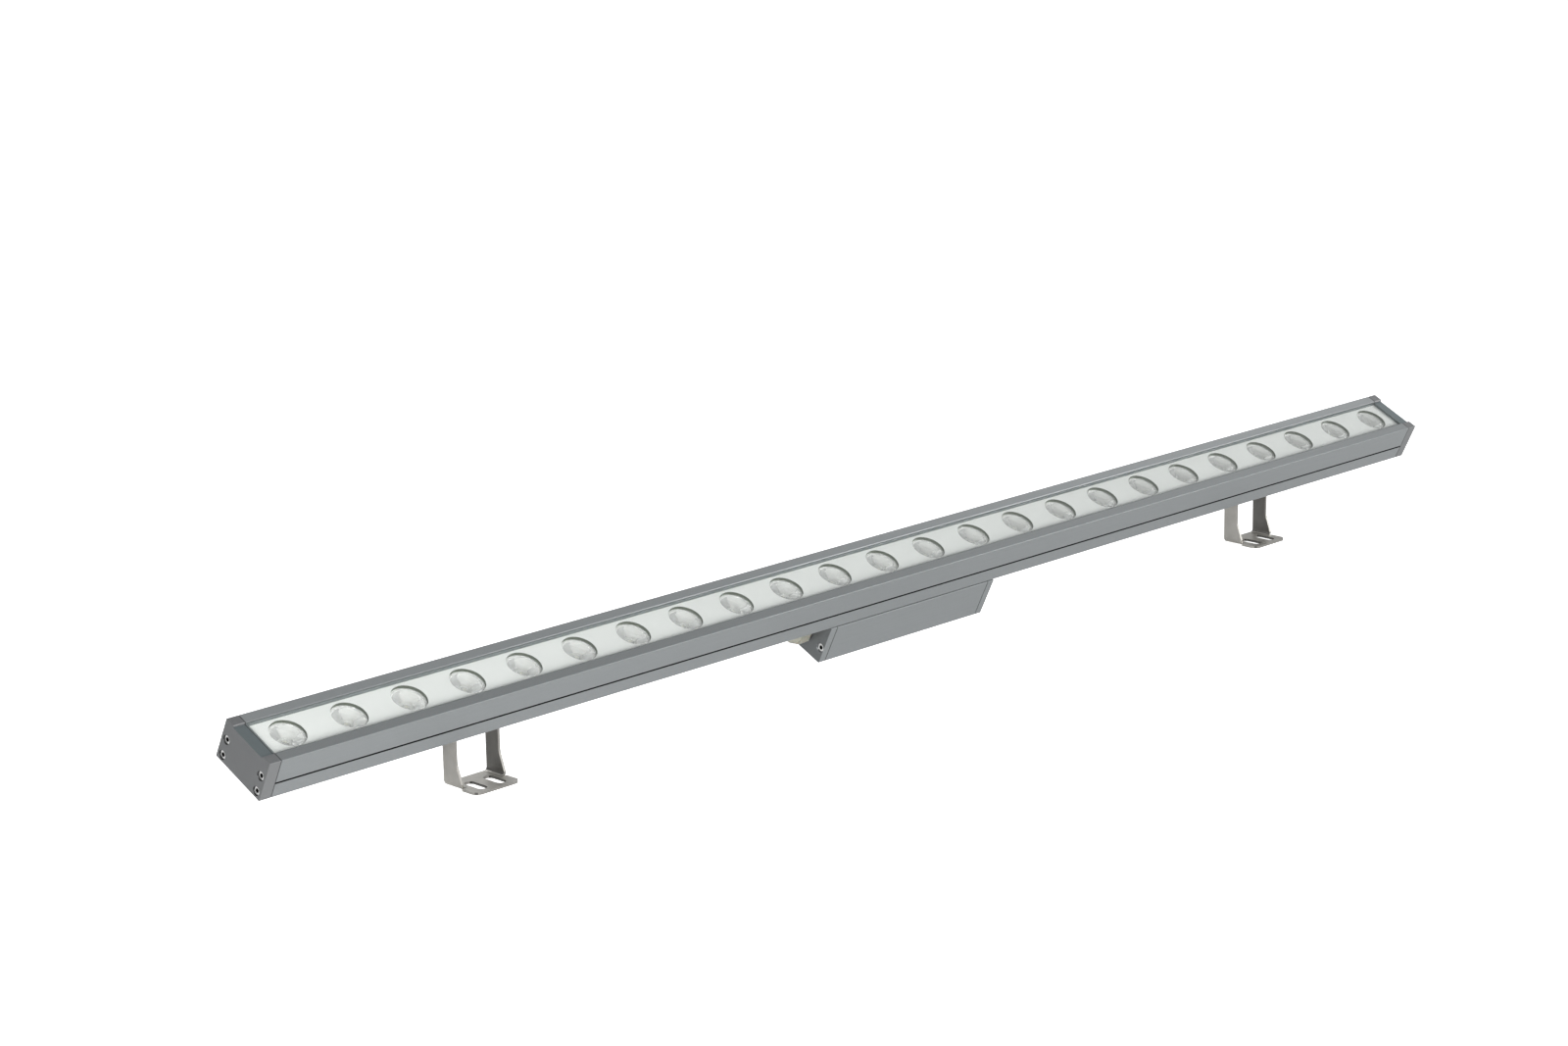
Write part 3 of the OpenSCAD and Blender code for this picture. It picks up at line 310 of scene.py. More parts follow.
def vary_colour(tree, shader, source, colour, spread):
    """Base colour that moves between darker and lighter with the source."""
    ramp = tree.nodes.new("ShaderNodeValToRGB")
    low, high = ramp.color_ramp.elements
    low.position = NOISE_LOW
    high.position = NOISE_HIGH
    low.color = (*[c * (1 - spread) for c in colour], 1)
    high.color = (*[min(1, c * (1 + spread)) for c in colour], 1)
    tree.links.new(source, ramp.inputs["Fac"])
    tree.links.new(ramp.outputs["Color"], shader.inputs["Base Color"])


def vary_roughness(tree, shader, source, roughness, spread):
    """Roughness that moves up and down with the source."""
    span = tree.nodes.new("ShaderNodeMapRange")
    span.inputs["From Min"].default_value = NOISE_LOW
    span.inputs["From Max"].default_value = NOISE_HIGH
    span.inputs["To Min"].default_value = max(LOWEST_ROUGHNESS, roughness - spread)
    span.inputs["To Max"].default_value = min(1, roughness + spread)
    tree.links.new(source, span.inputs["Value"])
    tree.links.new(span.outputs["Result"], shader.inputs["Roughness"])


def add_bump(tree, shader, source, depth):
    """Relief as deep as the given depth, raised by the source."""
    bump = tree.nodes.new("ShaderNodeBump")
    bump.inputs["Distance"].default_value = depth
    tree.links.new(source, bump.inputs["Height"])
    tree.links.new(bump.outputs["Normal"], shader.inputs["Normal"])


def calculate(tree, operation, *values):
    """The result of a Math node; each value is a number or a socket."""
    node = tree.nodes.new("ShaderNodeMath")
    node.operation = operation
    for socket, value in zip(node.inputs, values):
        if isinstance(value, (int, float)):
            socket.default_value = value
        else:
            tree.links.new(value, socket)
    return node.outputs["Value"]


def measure_along(tree, vector, axis):
    """How far a vector reaches along an axis."""
    product = tree.nodes.new("ShaderNodeVectorMath")
    product.operation = "DOT_PRODUCT"
    product.inputs[1].default_value = axis
    tree.links.new(vector, product.inputs[0])
    return product.outputs["Value"]


def lamp_place(tree, axis):
    """Distance of the shaded point along one axis of the lamp's own frame."""
    place = measure_along(tree, coordinate(tree, "Object"), axis)
    return calculate(tree, "SUBTRACT", place, Vector(axis).dot(LAMP_FRAME.translation))


def at_height(tree, height, band):
    """1 within a band about a height above the lamp's underside."""
    return calculate(tree, "COMPARE", lamp_place(tree, LAMP_UP), height, band)


def facing_share(tree, axis):
    """How squarely the piece's surface faces along an axis, from 0 to 1."""
    return calculate(tree, "ABSOLUTE", measure_along(tree, coordinate(tree, "Normal"), axis))


def faces(tree, axis, share=FACING):
    """1 where the surface faces along an axis, to either side."""
    return calculate(tree, "GREATER_THAN", facing_share(tree, axis), share)


def turned_from(tree, axis):
    """1 where the surface doesn't face along an axis."""
    return calculate(tree, "LESS_THAN", facing_share(tree, axis), FACING)


SCREW_HEAD_RADIUS = 2.45 * MM


def within_screws(tree, screws, plate, radius, depth):
    """1 inside a cylinder round each of a plate's end screws, deeper than a depth in its face.

    The screws stand alike on both sides of the lamp, one or two to a side.
    """
    low, high = lamp_box(screws)
    screw_across = high.y - SCREW_HEAD_RADIUS
    screw_up = (high.z - low.z) / 2 - SCREW_HEAD_RADIUS
    face = lamp_box(plate)[1].x
    across = calculate(tree, "ABSOLUTE", lamp_place(tree, LAMP_ACROSS))
    above_middle = calculate(tree, "SUBTRACT", lamp_place(tree, LAMP_UP), (low.z + high.z) / 2)
    up = calculate(tree, "ABSOLUTE", above_middle)
    out = calculate(tree, "POWER", calculate(tree, "SUBTRACT", across, screw_across), 2)
    rise = calculate(tree, "POWER", calculate(tree, "SUBTRACT", up, screw_up), 2)
    near = calculate(tree, "LESS_THAN", calculate(tree, "ADD", out, rise), radius ** 2)
    along = calculate(tree, "ABSOLUTE", lamp_place(tree, ALONG))
    sunk = calculate(tree, "LESS_THAN", along, face - depth)
    return calculate(tree, "MULTIPLY", near, sunk)


def recolour(tree, shader, colour, *masks, blend="MIX"):
    """Replaces the base colour where every mask is 1, or tints it with blend MULTIPLY."""
    where, *others = masks
    for mask in others:
        where = calculate(tree, "MULTIPLY", where, mask)
    mix = tree.nodes.new("ShaderNodeMix")
    mix.data_type = "RGBA"
    mix.blend_type = blend
    mix.inputs[MIX_COLOUR_B].default_value = (*colour, 1)
    tree.links.new(where, mix.inputs["Factor"])
    tree.links.new(shader.inputs["Base Color"].links[0].from_socket, mix.inputs[MIX_COLOUR_A])
    tree.links.new(mix.outputs[MIX_COLOUR_OUT], shader.inputs["Base Color"])


def shade(tree, shader, share, *masks):
    """Darkens the base colour to a share of itself where every mask is 1, as painted shade."""
    recolour(tree, shader, [share] * 3, *masks, blend="MULTIPLY")


def grained(name, colour, roughness, scale, spread, gloss_spread, metallic=0, stretch=EVEN,
            depth=0.01 * MM, seed=0.0):
    """A finish with one noise that varies its colour, gloss and height."""
    material, tree, shader = new_material(name)
    source = noise(tree, scale, stretch, seed=seed)
    vary_colour(tree, shader, source, colour, spread)
    vary_roughness(tree, shader, source, roughness, gloss_spread)
    add_bump(tree, shader, source, depth)
    shader.inputs["Metallic"].default_value = metallic
    return material


def pass_light(material, tint):
    """Lets light through a clear piece, tinted, so that what lies behind it is lit."""
    tree, shader = tree_and_shader(material)
    rays = tree.nodes.new("ShaderNodeLightPath").outputs
    lighting = calculate(tree, "MAXIMUM", rays["Is Shadow Ray"], rays["Is Diffuse Ray"])
    through = tree.nodes.new("ShaderNodeBsdfTransparent")
    through.inputs["Color"].default_value = (*tint, 1)
    mix = tree.nodes.new("ShaderNodeMixShader")
    tree.links.new(lighting, mix.inputs["Fac"])
    tree.links.new(shader.outputs["BSDF"], mix.inputs[MIX_SHADER_A])
    tree.links.new(through.outputs["BSDF"], mix.inputs[MIX_SHADER_B])
    tree.links.new(mix.outputs["Shader"], tree.nodes["Material Output"].inputs["Surface"])


def clear(name, colour, ior, roughness, haze, scale):
    """A transparent solid with faint smears; the haze is the share of light that it scatters."""
    material, tree, shader = new_material(name)
    smears = noise(tree, scale, detail=2)
    vary_colour(tree, shader, smears, colour, spread=0.012)
    vary_roughness(tree, shader, smears, roughness, spread=roughness / 3)
    shader.inputs["Transmission Weight"].default_value = 1 - haze
    shader.inputs["IOR"].default_value = ior
    pass_light(material, colour)
    return material


# Finishes

ALUMINIUM_METALLIC = 0.6
# Where painted shade goes: a screw's seat in an end cap, and the socket in its head
SEAT_RADIUS = 2.8 * MM
SEAT_DEPTH = 0.05 * MM
SOCKET_RADIUS = 1.48 * MM
SOCKET_DEPTH = 0.85 * MM


def anodised_aluminium(finishes, details):
    """Satin anodising over faint die lines that run along the profile, with painted shade in the
    groove, on the ends and on the lips' inner walls, and a painted lighter colour on the rear lip's
    top.
    """
    material, tree, shader = new_material("anodised_aluminium")
    lines = noise(tree, scale=2600, stretch=DRAWN_ALONG, detail=3)
    speckle = noise(tree, scale=3800, detail=2, seed=3.0)
    vary_colour(tree, shader, speckle, finishes.anodised, spread=0.05)
    vary_roughness(tree, shader, lines, finishes.anodised_roughness, spread=0.05)
    add_bump(tree, shader, lines, depth=0.004 * MM)
    shader.inputs["Metallic"].default_value = ALUMINIUM_METALLIC
    # Painted shade on the faces that point along the lamp, such as the driver box's ends
    shade(tree, shader, finishes.end_painted_shade, faces(tree, ALONG))
    # Painted shade in the groove
    groove = at_height(tree, details.groove_height, details.groove_width / 2)
    shade(tree, shader, finishes.groove_painted_shade, groove)
    across = lamp_place(tree, LAMP_ACROSS)
    # Painted light: a lighter colour on the rear lip's top
    rear = calculate(tree, "GREATER_THAN", across, details.rebate_reach)
    recolour(tree, shader, finishes.rear_lip_painted_light, rear, faces(tree, LAMP_UP, FACING_FLAT))
    # Painted shade on the lips' inner walls
    recessed = calculate(
        tree, "LESS_THAN", calculate(tree, "ABSOLUTE", across), details.rebate_reach,
    )
    shade(tree, shader, finishes.rebate_painted_shade, faces(tree, LAMP_ACROSS), recessed)
    return material


def cap_aluminium(finishes, details):
    """Cast and blasted, with painted shade darkening the floor of the recess that carries on the
    glass and the end screws' seats.
    """
    material = grained(
        "cap_aluminium", finishes.cap, finishes.cap_roughness, scale=3000, spread=0.07,
        gloss_spread=0.06, metallic=ALUMINIUM_METALLIC, seed=1.0,
    )
    tree, shader = tree_and_shader(material)
    # Painted shade: a darker colour on the recess floor
    level = at_height(tree, details.recess_height, details.recess_band)
    recolour(tree, shader, finishes.cap_recess_painted_shade, level, faces(tree, LAMP_UP))
    # Painted shade in the end screws' seats
    seat = within_screws(tree, "cap_screws_right", "end_cap_right", SEAT_RADIUS, SEAT_DEPTH)
    shade(tree, shader, finishes.seat_painted_shade, seat)
    return material


def gasket_rubber(finishes):
    return grained(
        "gasket_rubber", finishes.rubber, roughness=0.72, scale=2200, spread=0.25,
        gloss_spread=0.08,
    )


def screw_steel(finishes, name="screw_steel"):
    return grained(
        name, finishes.steel, roughness=0.26, scale=1800, spread=0.06, gloss_spread=0.07,
        metallic=1, depth=0.006 * MM, seed=2.0,
    )


def end_screw_steel(finishes, name, screws, plate):
    """Steel of an end plate's screws, with painted shade darkening the inside of their sockets."""
    material = screw_steel(finishes, name)
    tree, shader = tree_and_shader(material)
    # Painted shade inside the sockets
    socket = within_screws(tree, screws, plate, SOCKET_RADIUS, SOCKET_DEPTH)
    shade(tree, shader, finishes.socket_painted_shade, socket)
    return material


def front_glass_finish(finishes):
    """Clear glass; its edges show the silicone that wets them."""
    material = clear("clear_glass", finishes.glass_tint, ior=1.5, roughness=0, haze=0, scale=30)
    tree, shader = tree_and_shader(material)
    edge = turned_from(tree, LAMP_UP)
    recolour(tree, shader, finishes.silicone, edge)
    tree.links.new(calculate(tree, "SUBTRACT", 1, edge), shader.inputs["Transmission Weight"])
    return material


def silicone_finish(finishes):
    return grained(
        "silicone", finishes.silicone, roughness=0.5, scale=900, spread=0.2, gloss_spread=0.08,
        stretch=WIPED_ALONG, depth=0.02 * MM,
    )


def white_plate_finish(finishes):
    """White powder coat with a faint orange peel; the walls of the holes are darkened with painted
    shade.
    """
    material = grained(
        "white_plate", finishes.plate, roughness=0.45, scale=1400, spread=0.02,
        gloss_spread=0.04, depth=0.012 * MM,
    )
    tree, shader = tree_and_shader(material)
    # Painted shade on the walls of the holes
    recolour(tree, shader, finishes.plate_hole_painted_shade, turned_from(tree, LAMP_UP))
    return material


def lens_plastic():
    return clear(
        "lens_plastic", (0.965, 0.965, 0.96), ior=1.49, roughness=0.06, haze=0.18, scale=120,
    )


WIRE_SKIN = dict(roughness=0.42, scale=2600, spread=0.1, gloss_spread=0.06, stretch=WIRE_ALONG)

# Finishes of the small parts inside the lamp and of the washers
PLAIN_FINISHES = {
    "holder_plastic": dict(
        colour=(0.74, 0.74, 0.73), roughness=0.38, scale=1500, spread=0.03, gloss_spread=0.05,
    ),
    # Pale phosphor under a clear dome, on a white ceramic body
    "led_phosphor": dict(
        colour=(0.8, 0.78, 0.62), roughness=0.3, scale=5200, spread=0.1, gloss_spread=0.06,
    ),
    "board_white": dict(
        colour=(0.78, 0.79, 0.77), roughness=0.5, scale=1700, spread=0.03, gloss_spread=0.06,
    ),
    "jumper_insulation": dict(colour=(0.42, 0.03, 0.03), **WIRE_SKIN),
    "feed_insulation": dict(colour=(0.02, 0.02, 0.02), **WIRE_SKIN),
    "bush_plastic": dict(
        colour=(0.035, 0.036, 0.038), roughness=0.5, scale=2400, spread=0.2, gloss_spread=0.08,
    ),
    "ferrite": dict(
        colour=(0.05, 0.048, 0.046), roughness=0.62, scale=2600, spread=0.2, gloss_spread=0.1,
        metallic=0.1,
    ),
    "capacitor_sleeve": dict(
        colour=(0.04, 0.06, 0.12), roughness=0.35, scale=1500, spread=0.12, gloss_spread=0.05,
    ),
    "copper_winding": dict(
        colour=(0.55, 0.22, 0.09), roughness=0.28, scale=1600, spread=0.1, gloss_spread=0.08,
        metallic=1,
    ),
    "terminal_plastic": dict(
        colour=(0.05, 0.22, 0.10), roughness=0.45, scale=2100, spread=0.08, gloss_spread=0.06,
    ),
    "washer_nylon": dict(
        colour=(0.75, 0.73, 0.66), roughness=0.4, scale=1900, spread=0.04, gloss_spread=0.06,
    ),
}


def plain_finish(name):
    return grained(name, **PLAIN_FINISHES[name])


def board_green():
    """Green solder mask with darker strips where copper runs below it."""
    material, tree, shader = new_material("board_green")
    wave = tree.nodes.new("ShaderNodeTexWave")
    wave.inputs["Scale"].default_value = 180
    wave.inputs["Distortion"].default_value = 2
    tree.links.new(coordinate(tree, "Object"), wave.inputs["Vector"])
    tracks = wave.outputs["Fac"]
    vary_colour(tree, shader, tracks, (0.03, 0.17, 0.075), spread=0.25)
    vary_roughness(tree, shader, tracks, roughness=0.35, spread=0.05)
    add_bump(tree, shader, tracks, depth=0.02 * MM)
    return material


def gland_nylon(finishes):
    """Moulded nylon with a soft mottling and a little light carried under its skin."""
    material = grained(
        "gland_nylon", finishes.gland, roughness=0.44, scale=1500, spread=0.06,
        gloss_spread=0.07, depth=0.015 * MM,
    )
    tree, shader = tree_and_shader(material)
    shader.inputs["Subsurface Weight"].default_value = 0.15
    shader.inputs["Subsurface Scale"].default_value = 0.8 * MM
    return material


def brushed_stainless(finishes, details):
    """Bent sheet, brushed along its length, with softer patches from handling, and painted shade on
    the legs' outer and inner faces, the cut edges and the foot.
    """
    material, tree, shader = new_material("brushed_stainless")
    brush = noise(tree, scale=3600, stretch=BRUSHED_UP, detail=3)
    patches = noise(tree, scale=140, detail=3, seed=5.0)
    vary_colour(tree, shader, patches, finishes.stainless, spread=0.07)
    vary_roughness(tree, shader, brush, roughness=0.4, spread=0.08)
    add_bump(tree, shader, brush, depth=0.008 * MM)
    shader.inputs["Metallic"].default_value = 0.85
    # Painted shade on the faces that point along the lamp, the legs' outer and inner faces
    side = faces(tree, ALONG, FACING_LEG)
    shade(tree, shader, finishes.leg_painted_shade, side)
    # Painted shade, darker still, on the legs' inner faces
    for hinge in HINGES:
        middle = hinge["pos_m"][0]
        inside = calculate(tree, "COMPARE", lamp_place(tree, ALONG), middle, details.leg_inside)
        shade(tree, shader, finishes.inner_painted_shade, side, inside)
    # Painted shade on the sheet's cut edges
    shade(tree, shader, finishes.edge_painted_shade, faces(tree, ACROSS))
    # Painted shade on the foot's upward faces
    shade(tree, shader, finishes.foot_painted_shade, faces(tree, UPRIGHT, FACING_FLAT))
    return material


def dress(material, *names):
    """Gives CAD nodes one finish."""
    for name in names:
        slots = NODES[name].data.materials
        slots.clear()
        slots.append(material)


def both(name):
    """The names of a left and a right node."""
    return name + "_left", name + "_right"


# Mesh pieces

def new_piece(name, mesh, material, body, slot, *replaced):
    piece = bpy.data.objects.new(name, mesh)
    bpy.context.scene.collection.objects.link(piece)
    mesh.materials.append(material)
    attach(piece, body)
    if replaced:
        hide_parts(*replaced)


WIRE_ROUNDNESS = 2


def swept_mesh(name, points, radius, closed=False):
    """A round wire through the points."""
    curve = bpy.data.curves.new(name, "CURVE")
    curve.dimensions = "3D"
    curve.bevel_depth = radius
    curve.bevel_resolution = WIRE_ROUNDNESS
    curve.use_fill_caps = not closed
    spline = curve.splines.new("POLY")
    spline.points.add(len(points) - 1)
    for knot, point in zip(spline.points, points):
        knot.co = (*point, 1)
    spline.use_cyclic_u = closed
    holder = bpy.data.objects.new(name, curve)
    mesh = bpy.data.meshes.new_from_object(holder)
    bpy.data.objects.remove(holder)
    bpy.data.curves.remove(curve)
    mesh.shade_smooth()
    return mesh


CORNERS = ((1, 1), (-1, 1), (-1, -1), (1, -1))
CROWN_STEPS = 6


def bead_mesh(details):
    """The silicone beds the glass's edge, fills the joint round it and crowns, with mitres."""
    low, high = lamp_box("glass_seal")
    glass_low, glass_high = lamp_box("front_glass")
    width = high.x - glass_high.x
    # The bead's section: how far out from the glass's edge, and how far up
    section = [(-details.bed_width, glass_low.z), (-details.bed_width, low.z), (width, low.z)]
    for step in range(CROWN_STEPS + 1):
        angle = math.pi * step / CROWN_STEPS
        out = width * (1 + math.cos(angle)) / 2
        section.append((out, high.z + details.bead_rise * math.sin(angle)))
    section.append((0, glass_low.z))
    mesh = bpy.data.meshes.new("silicone_bead")
    bead = bmesh.new()

    def corner_point(side_x, side_y, out, up):
        at = Vector((side_x * (glass_high.x + out), side_y * (glass_high.y + out), up))
        return bead.verts.new(LAMP_FRAME @ at)

    loops = [[corner_point(*corner, *point) for point in section] for corner in CORNERS]
    for i, loop in enumerate(loops):
        following = loops[(i + 1) % len(loops)]
        for j in range(len(section)):
            k = (j + 1) % len(section)
            bead.faces.new((loop[j], loop[k], following[k], following[j]))
    bmesh.ops.recalc_face_normals(bead, faces=bead.faces)
    bead.to_mesh(mesh)
    bead.free()
    return mesh


RING_POINTS = 64
POINTS_PER_TURN = 16


def choke_meshes(details):
    """The choke's ring core, and the wire wound on it with both ends led down to the board."""
    low, high = lamp_box("choke")
    middle = (low + high) / 2
    outer = (high.z - low.z) / 2
    ring = (high.x - low.x) / 2 - outer
    wire = details.winding_wire / 2
    core = outer - 2 * wire
    coil = outer - wire
    board = low.z - middle.z

    def around(turn, reach, up):
        at = Vector((reach * math.cos(turn), reach * math.sin(turn), up))
        return LAMP_FRAME @ (middle + at)

    circle = [around(2 * math.pi * i / RING_POINTS, ring, 0) for i in range(RING_POINTS)]
    count = details.winding_turns * POINTS_PER_TURN
    sweep = 2 * math.pi - details.winding_gap
    path = [around(0, ring + coil, board)]
    for i in range(count + 1):
        roll = 2 * math.pi * i / POINTS_PER_TURN
        path.append(around(sweep * i / count, ring + coil * math.cos(roll), coil * math.sin(roll)))
    path.append(around(sweep, ring + coil, board))
    core_mesh = swept_mesh("choke_core", circle, core, closed=True)
    return core_mesh, swept_mesh("choke_winding", path, wire)


# Operators, one for each piece or group of like pieces

class WASHER_OT_housing(bpy.types.Operator):
    """Finish the extruded housing and the driver box"""

    bl_idname = "washer.housing"
    bl_label = "Housing"

    def execute(self, context):
        scene = context.scene
        anodised = anodised_aluminium(scene.washer_finishes, scene.washer_details)
        dress(anodised, "housing", "driver_case", *both("driver_end"))
        return {"FINISHED"}


class WASHER_OT_end_caps(bpy.types.Operator):
    """Finish the end caps, the pivot blocks and the gaskets"""

    bl_idname = "washer.end_caps"
    bl_label = "End caps and gaskets"

    def execute(self, context):
        finishes = context.scene.washer_finishes
        cap = cap_aluminium(finishes, context.scene.washer_details)
        rubber = gasket_rubber(finishes)
        dress(cap, *both("end_cap"), *both("pivot_block"))
        dress(rubber, *both("end_gasket"), "driver_gaskets", "driver_pad")
        dress(rubber, "gland_ring", "gland_seal")
        return {"FINISHED"}


class WASHER_OT_glazing(bpy.types.Operator):
    """Finish the front glass and the bead that seals it"""

    bl_idname = "washer.glazing"
    bl_label = "Glass and bead"

    def execute(self, context):
        finishes = context.scene.washer_finishes
        silicone = silicone_finish(finishes)
        dress(front_glass_finish(finishes), "front_glass")
        dress(silicone, "glass_seal")
        bead = bead_mesh(context.scene.washer_details)
        new_piece("silicone_bead", bead, silicone, LAMP, "silicone", "glass_seal")
        return {"FINISHED"}


class WASHER_OT_optics(bpy.types.Operator):
    """Finish the lens plate, lenses, holders and LEDs"""

    bl_idname = "washer.optics"
    bl_label = "Lens plate and lenses"

    def execute(self, context):
        dress(white_plate_finish(context.scene.washer_finishes), "lens_plate")
        dress(lens_plastic(), "lenses")
        dress(plain_finish("holder_plastic"), "lens_holders")
        dress(plain_finish("led_phosphor"), "led_emitters")
        return {"FINISHED"}


class WASHER_OT_led_boards(bpy.types.Operator):
    """Finish the LED boards and what joins them"""

    bl_idname = "washer.led_boards"
    bl_label = "LED boards and wires"

    def execute(self, context):
        dress(plain_finish("board_white"), "led_boards")
        dress(plain_finish("jumper_insulation"), "board_jumpers")
        dress(plain_finish("feed_insulation"), "feed_wires")
        dress(plain_finish("bush_plastic"), "feed_bush")
        return {"FINISHED"}


class WASHER_OT_driver(bpy.types.Operator):
    """Finish the driver's circuit and the parts on it"""

    bl_idname = "washer.driver"
    bl_label = "Driver circuit"

    def execute(self, context):
        black = plain_finish("ferrite")
        copper = plain_finish("copper_winding")
        core, winding = choke_meshes(context.scene.washer_details)
        new_piece("choke_core", core, black, LAMP, "ferrite")
        new_piece("choke_winding", winding, copper, LAMP, "copper_winding", "choke")
        dress(board_green(), "driver_board")
        dress(black, "transformer")
        dress(plain_finish("capacitor_sleeve"), "filter_capacitors")
        dress(copper, "choke")
        dress(plain_finish("terminal_plastic"), "terminal_block")
        return {"FINISHED"}


class WASHER_OT_gland(bpy.types.Operator):
    """Finish the cable gland"""

    bl_idname = "washer.gland"
    bl_label = "Cable gland"

    def execute(self, context):
        nylon = gland_nylon(context.scene.washer_finishes)
        dress(nylon, "gland_body", "gland_locknut", "gland_nut")
        return {"FINISHED"}


class WASHER_OT_fasteners(bpy.types.Operator):
    """Finish the screws, nuts and washers"""

    bl_idname = "washer.fasteners"
    bl_label = "Screws, nuts and washers"

    def execute(self, context):
        finishes = context.scene.washer_finishes
        steel = screw_steel(finishes)
        cap_steel = end_screw_steel(
            finishes, "cap_screw_steel", "cap_screws_right", "end_cap_right",
        )
        driver_steel = end_screw_steel(
            finishes, "driver_screw_steel", "driver_end_screws", "driver_end_right",
        )
        dress(cap_steel, *both("cap_screws"))
        dress(driver_steel, "driver_end_screws")
        dress(steel, "board_screws", "feed_nut", "driver_mount_screws", "driver_t_nuts")
        for name in ("t_nut", "clamp_screw", "lock_washers", "pivot_screws"):
            dress(steel, *both(name))
        dress(plain_finish("washer_nylon"), *both("nylon_washers"))
        return {"FINISHED"}


class WASHER_OT_brackets(bpy.types.Operator):
    """Finish the bent foot brackets"""

    bl_idname = "washer.brackets"
    bl_label = "Foot brackets"

    def execute(self, context):
        scene = context.scene
        dress(brushed_stainless(scene.washer_finishes, scene.washer_details), *both("bracket"))
        return {"FINISHED"}


class WASHER_OT_studio(bpy.types.Operator):
    """Set the floor, the lights and the camera"""

    bl_idname = "washer.studio"
    bl_label = "Studio"

    def execute(self, context):
        studio = context.scene.washer_studio
        make_floor(studio)
        make_sky(context.scene, studio)
        make_light("key", studio.key_place, studio.key_power, studio.light_side)
        make_light("fill", studio.fill_place, studio.fill_power, studio.light_side)
        make_light("back", studio.back_place, studio.back_power, studio.light_side)
        rim = make_light("rim", studio.rim_place, studio.rim_power, studio.rim_side)
        light_only(rim, "housing", *both("end_cap"))
        for name, place in (("spark_low", studio.spark_low), ("spark_high", studio.spark_high)):
            light_only(make_light(name, place, studio.spark_power, studio.spark_side), "lenses")
        make_camera(context.scene, studio)
        return {"FINISHED"}


# Studio

# What every light points at
LIT_POINT = Vector((0, 0, 0.05))
FLOOR_CELLS = 4
# In millimetres, as the focal length
SENSOR_WIDTH = 36
# Past the floor's far corner, in metres
FAR_CLIP = 100
WHITE = (1, 1, 1, 1)
SKY_COLOUR = (0.97, 0.985, 1, 1)


def make_floor(studio):
    """A pale floor that the camera sees glow white and the lamp sees only dimly."""
    mesh = bpy.data.meshes.new("floor")
    grid = bmesh.new()
    half = studio.floor_side / 2
    bmesh.ops.create_grid(grid, x_segments=FLOOR_CELLS, y_segments=FLOOR_CELLS, size=half)
    grid.to_mesh(mesh)
    grid.free()
    floor = bpy.data.objects.new("floor", mesh)
    bpy.context.scene.collection.objects.link(floor)
    floor.location.z = cad_box[0][2]
    material = grained(
        "pale_floor", (0.93, 0.93, 0.93), roughness=0.7, scale=12, spread=0.004,
        gloss_spread=0.03, depth=0,
    )
    tree, shader = tree_and_shader(material)
    shader.inputs["Emission Color"].default_value = WHITE
    shader.inputs["Specular IOR Level"].default_value = 0.1
    path = tree.nodes.new("ShaderNodeLightPath")
    glow = tree.nodes.new("ShaderNodeMapRange")
    glow.inputs["To Min"].default_value = studio.floor_glow
    tree.links.new(path.outputs["Is Camera Ray"], glow.inputs["Value"])
    tree.links.new(glow.outputs["Result"], shader.inputs["Emission Strength"])
    mesh.materials.append(material)


def make_sky(scene, studio):
    """Even light from all round."""
    world = bpy.data.worlds.new("studio")
    scene.world = world
    world.use_nodes = True
    back = world.node_tree.nodes["Background"]
    back.inputs["Color"].default_value = SKY_COLOUR
    back.inputs["Strength"].default_value = studio.sky


def make_light(name, place, power, side):
    """A square soft light that shines on the lamp and doesn't show in the picture."""
    data = bpy.data.lights.new(name, "AREA")
    data.shape = "SQUARE"
    data.size = side
    data.energy = power
    light = bpy.data.objects.new(name, data)
    light.location = place
    light.rotation_euler = (LIT_POINT - light.location).to_track_quat("-Z", "Y").to_euler()
    light.visible_camera = False
    bpy.context.scene.collection.objects.link(light)
    return light


def light_only(light, *names):
    """Keeps a light to some of the CAD nodes."""
    lit = bpy.data.collections.new(light.name + "_lights")
    for name in names:
        lit.objects.link(NODES[name])
    light.light_linking.receiver_collection = lit


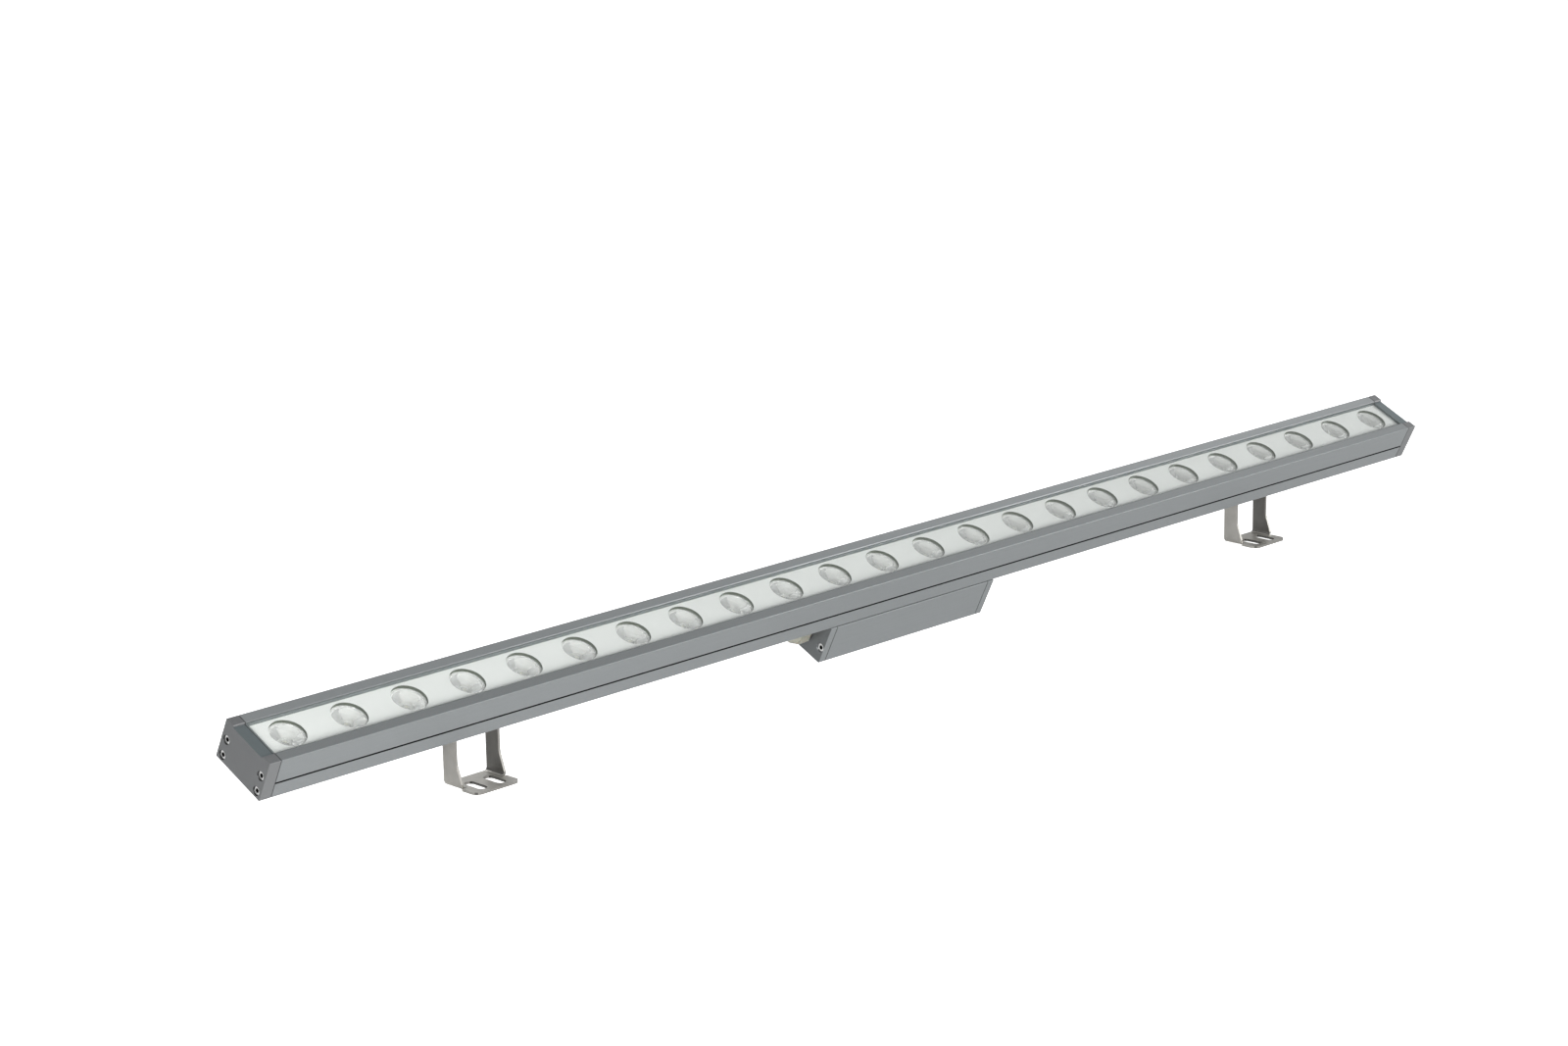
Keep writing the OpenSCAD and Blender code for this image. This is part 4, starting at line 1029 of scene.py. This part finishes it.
def make_camera(scene, studio):
    """A camera turned about its aim, tipped down to it, rolled and backed off."""
    data = bpy.data.cameras.new("camera")
    data.lens = studio.lens
    data.sensor_width = SENSOR_WIDTH
    data.dof.use_dof = False
    data.clip_end = FAR_CLIP
    camera = bpy.data.objects.new("camera", data)
    turn = Matrix.Rotation(studio.azimuth, 4, "Z")
    tip = Matrix.Rotation(math.pi / 2 - studio.elevation, 4, "X")
    lean = Matrix.Rotation(studio.roll, 4, "Z")
    back_off = Matrix.Translation((0, 0, studio.distance))
    camera.matrix_world = Matrix.Translation(studio.aim) @ turn @ tip @ lean @ back_off
    scene.collection.objects.link(camera)
    scene.camera = camera
    scene.view_settings.view_transform = "Standard"


OPERATORS = (
    WASHER_OT_housing, WASHER_OT_end_caps, WASHER_OT_glazing, WASHER_OT_optics,
    WASHER_OT_led_boards, WASHER_OT_driver, WASHER_OT_gland, WASHER_OT_fasteners,
    WASHER_OT_brackets, WASHER_OT_studio,
)


class WASHER_PT_looks(bpy.types.Panel):
    """Lists the lamp's pieces and its studio"""

    bl_idname = "WASHER_PT_looks"
    bl_label = "Wall Washer"
    bl_space_type = "VIEW_3D"
    bl_region_type = "UI"
    bl_category = "Washer"

    def draw(self, context):
        scene = context.scene
        for operator in OPERATORS:
            self.layout.operator(operator.bl_idname)
        for settings in (scene.washer_finishes, scene.washer_details, scene.washer_studio):
            for name in settings.bl_rna.properties.keys():
                if name not in {"rna_type", "name"}:
                    self.layout.prop(settings, name)


CLASSES = (WasherFinishes, WasherDetails, WasherStudio, *OPERATORS, WASHER_PT_looks)


def register():
    for cls in CLASSES:
        bpy.utils.register_class(cls)
    bpy.types.Scene.washer_finishes = PointerProperty(type=WasherFinishes)
    bpy.types.Scene.washer_details = PointerProperty(type=WasherDetails)
    bpy.types.Scene.washer_studio = PointerProperty(type=WasherStudio)


def unregister():
    del bpy.types.Scene.washer_studio
    del bpy.types.Scene.washer_details
    del bpy.types.Scene.washer_finishes
    for cls in reversed(CLASSES):
        bpy.utils.unregister_class(cls)


def main():
    register()
    bpy.ops.washer.housing()
    bpy.ops.washer.end_caps()
    bpy.ops.washer.glazing()
    bpy.ops.washer.optics()
    bpy.ops.washer.led_boards()
    bpy.ops.washer.driver()
    bpy.ops.washer.gland()
    bpy.ops.washer.fasteners()
    bpy.ops.washer.brackets()
    bpy.ops.washer.studio()


if __name__ == "__main__":
    main()
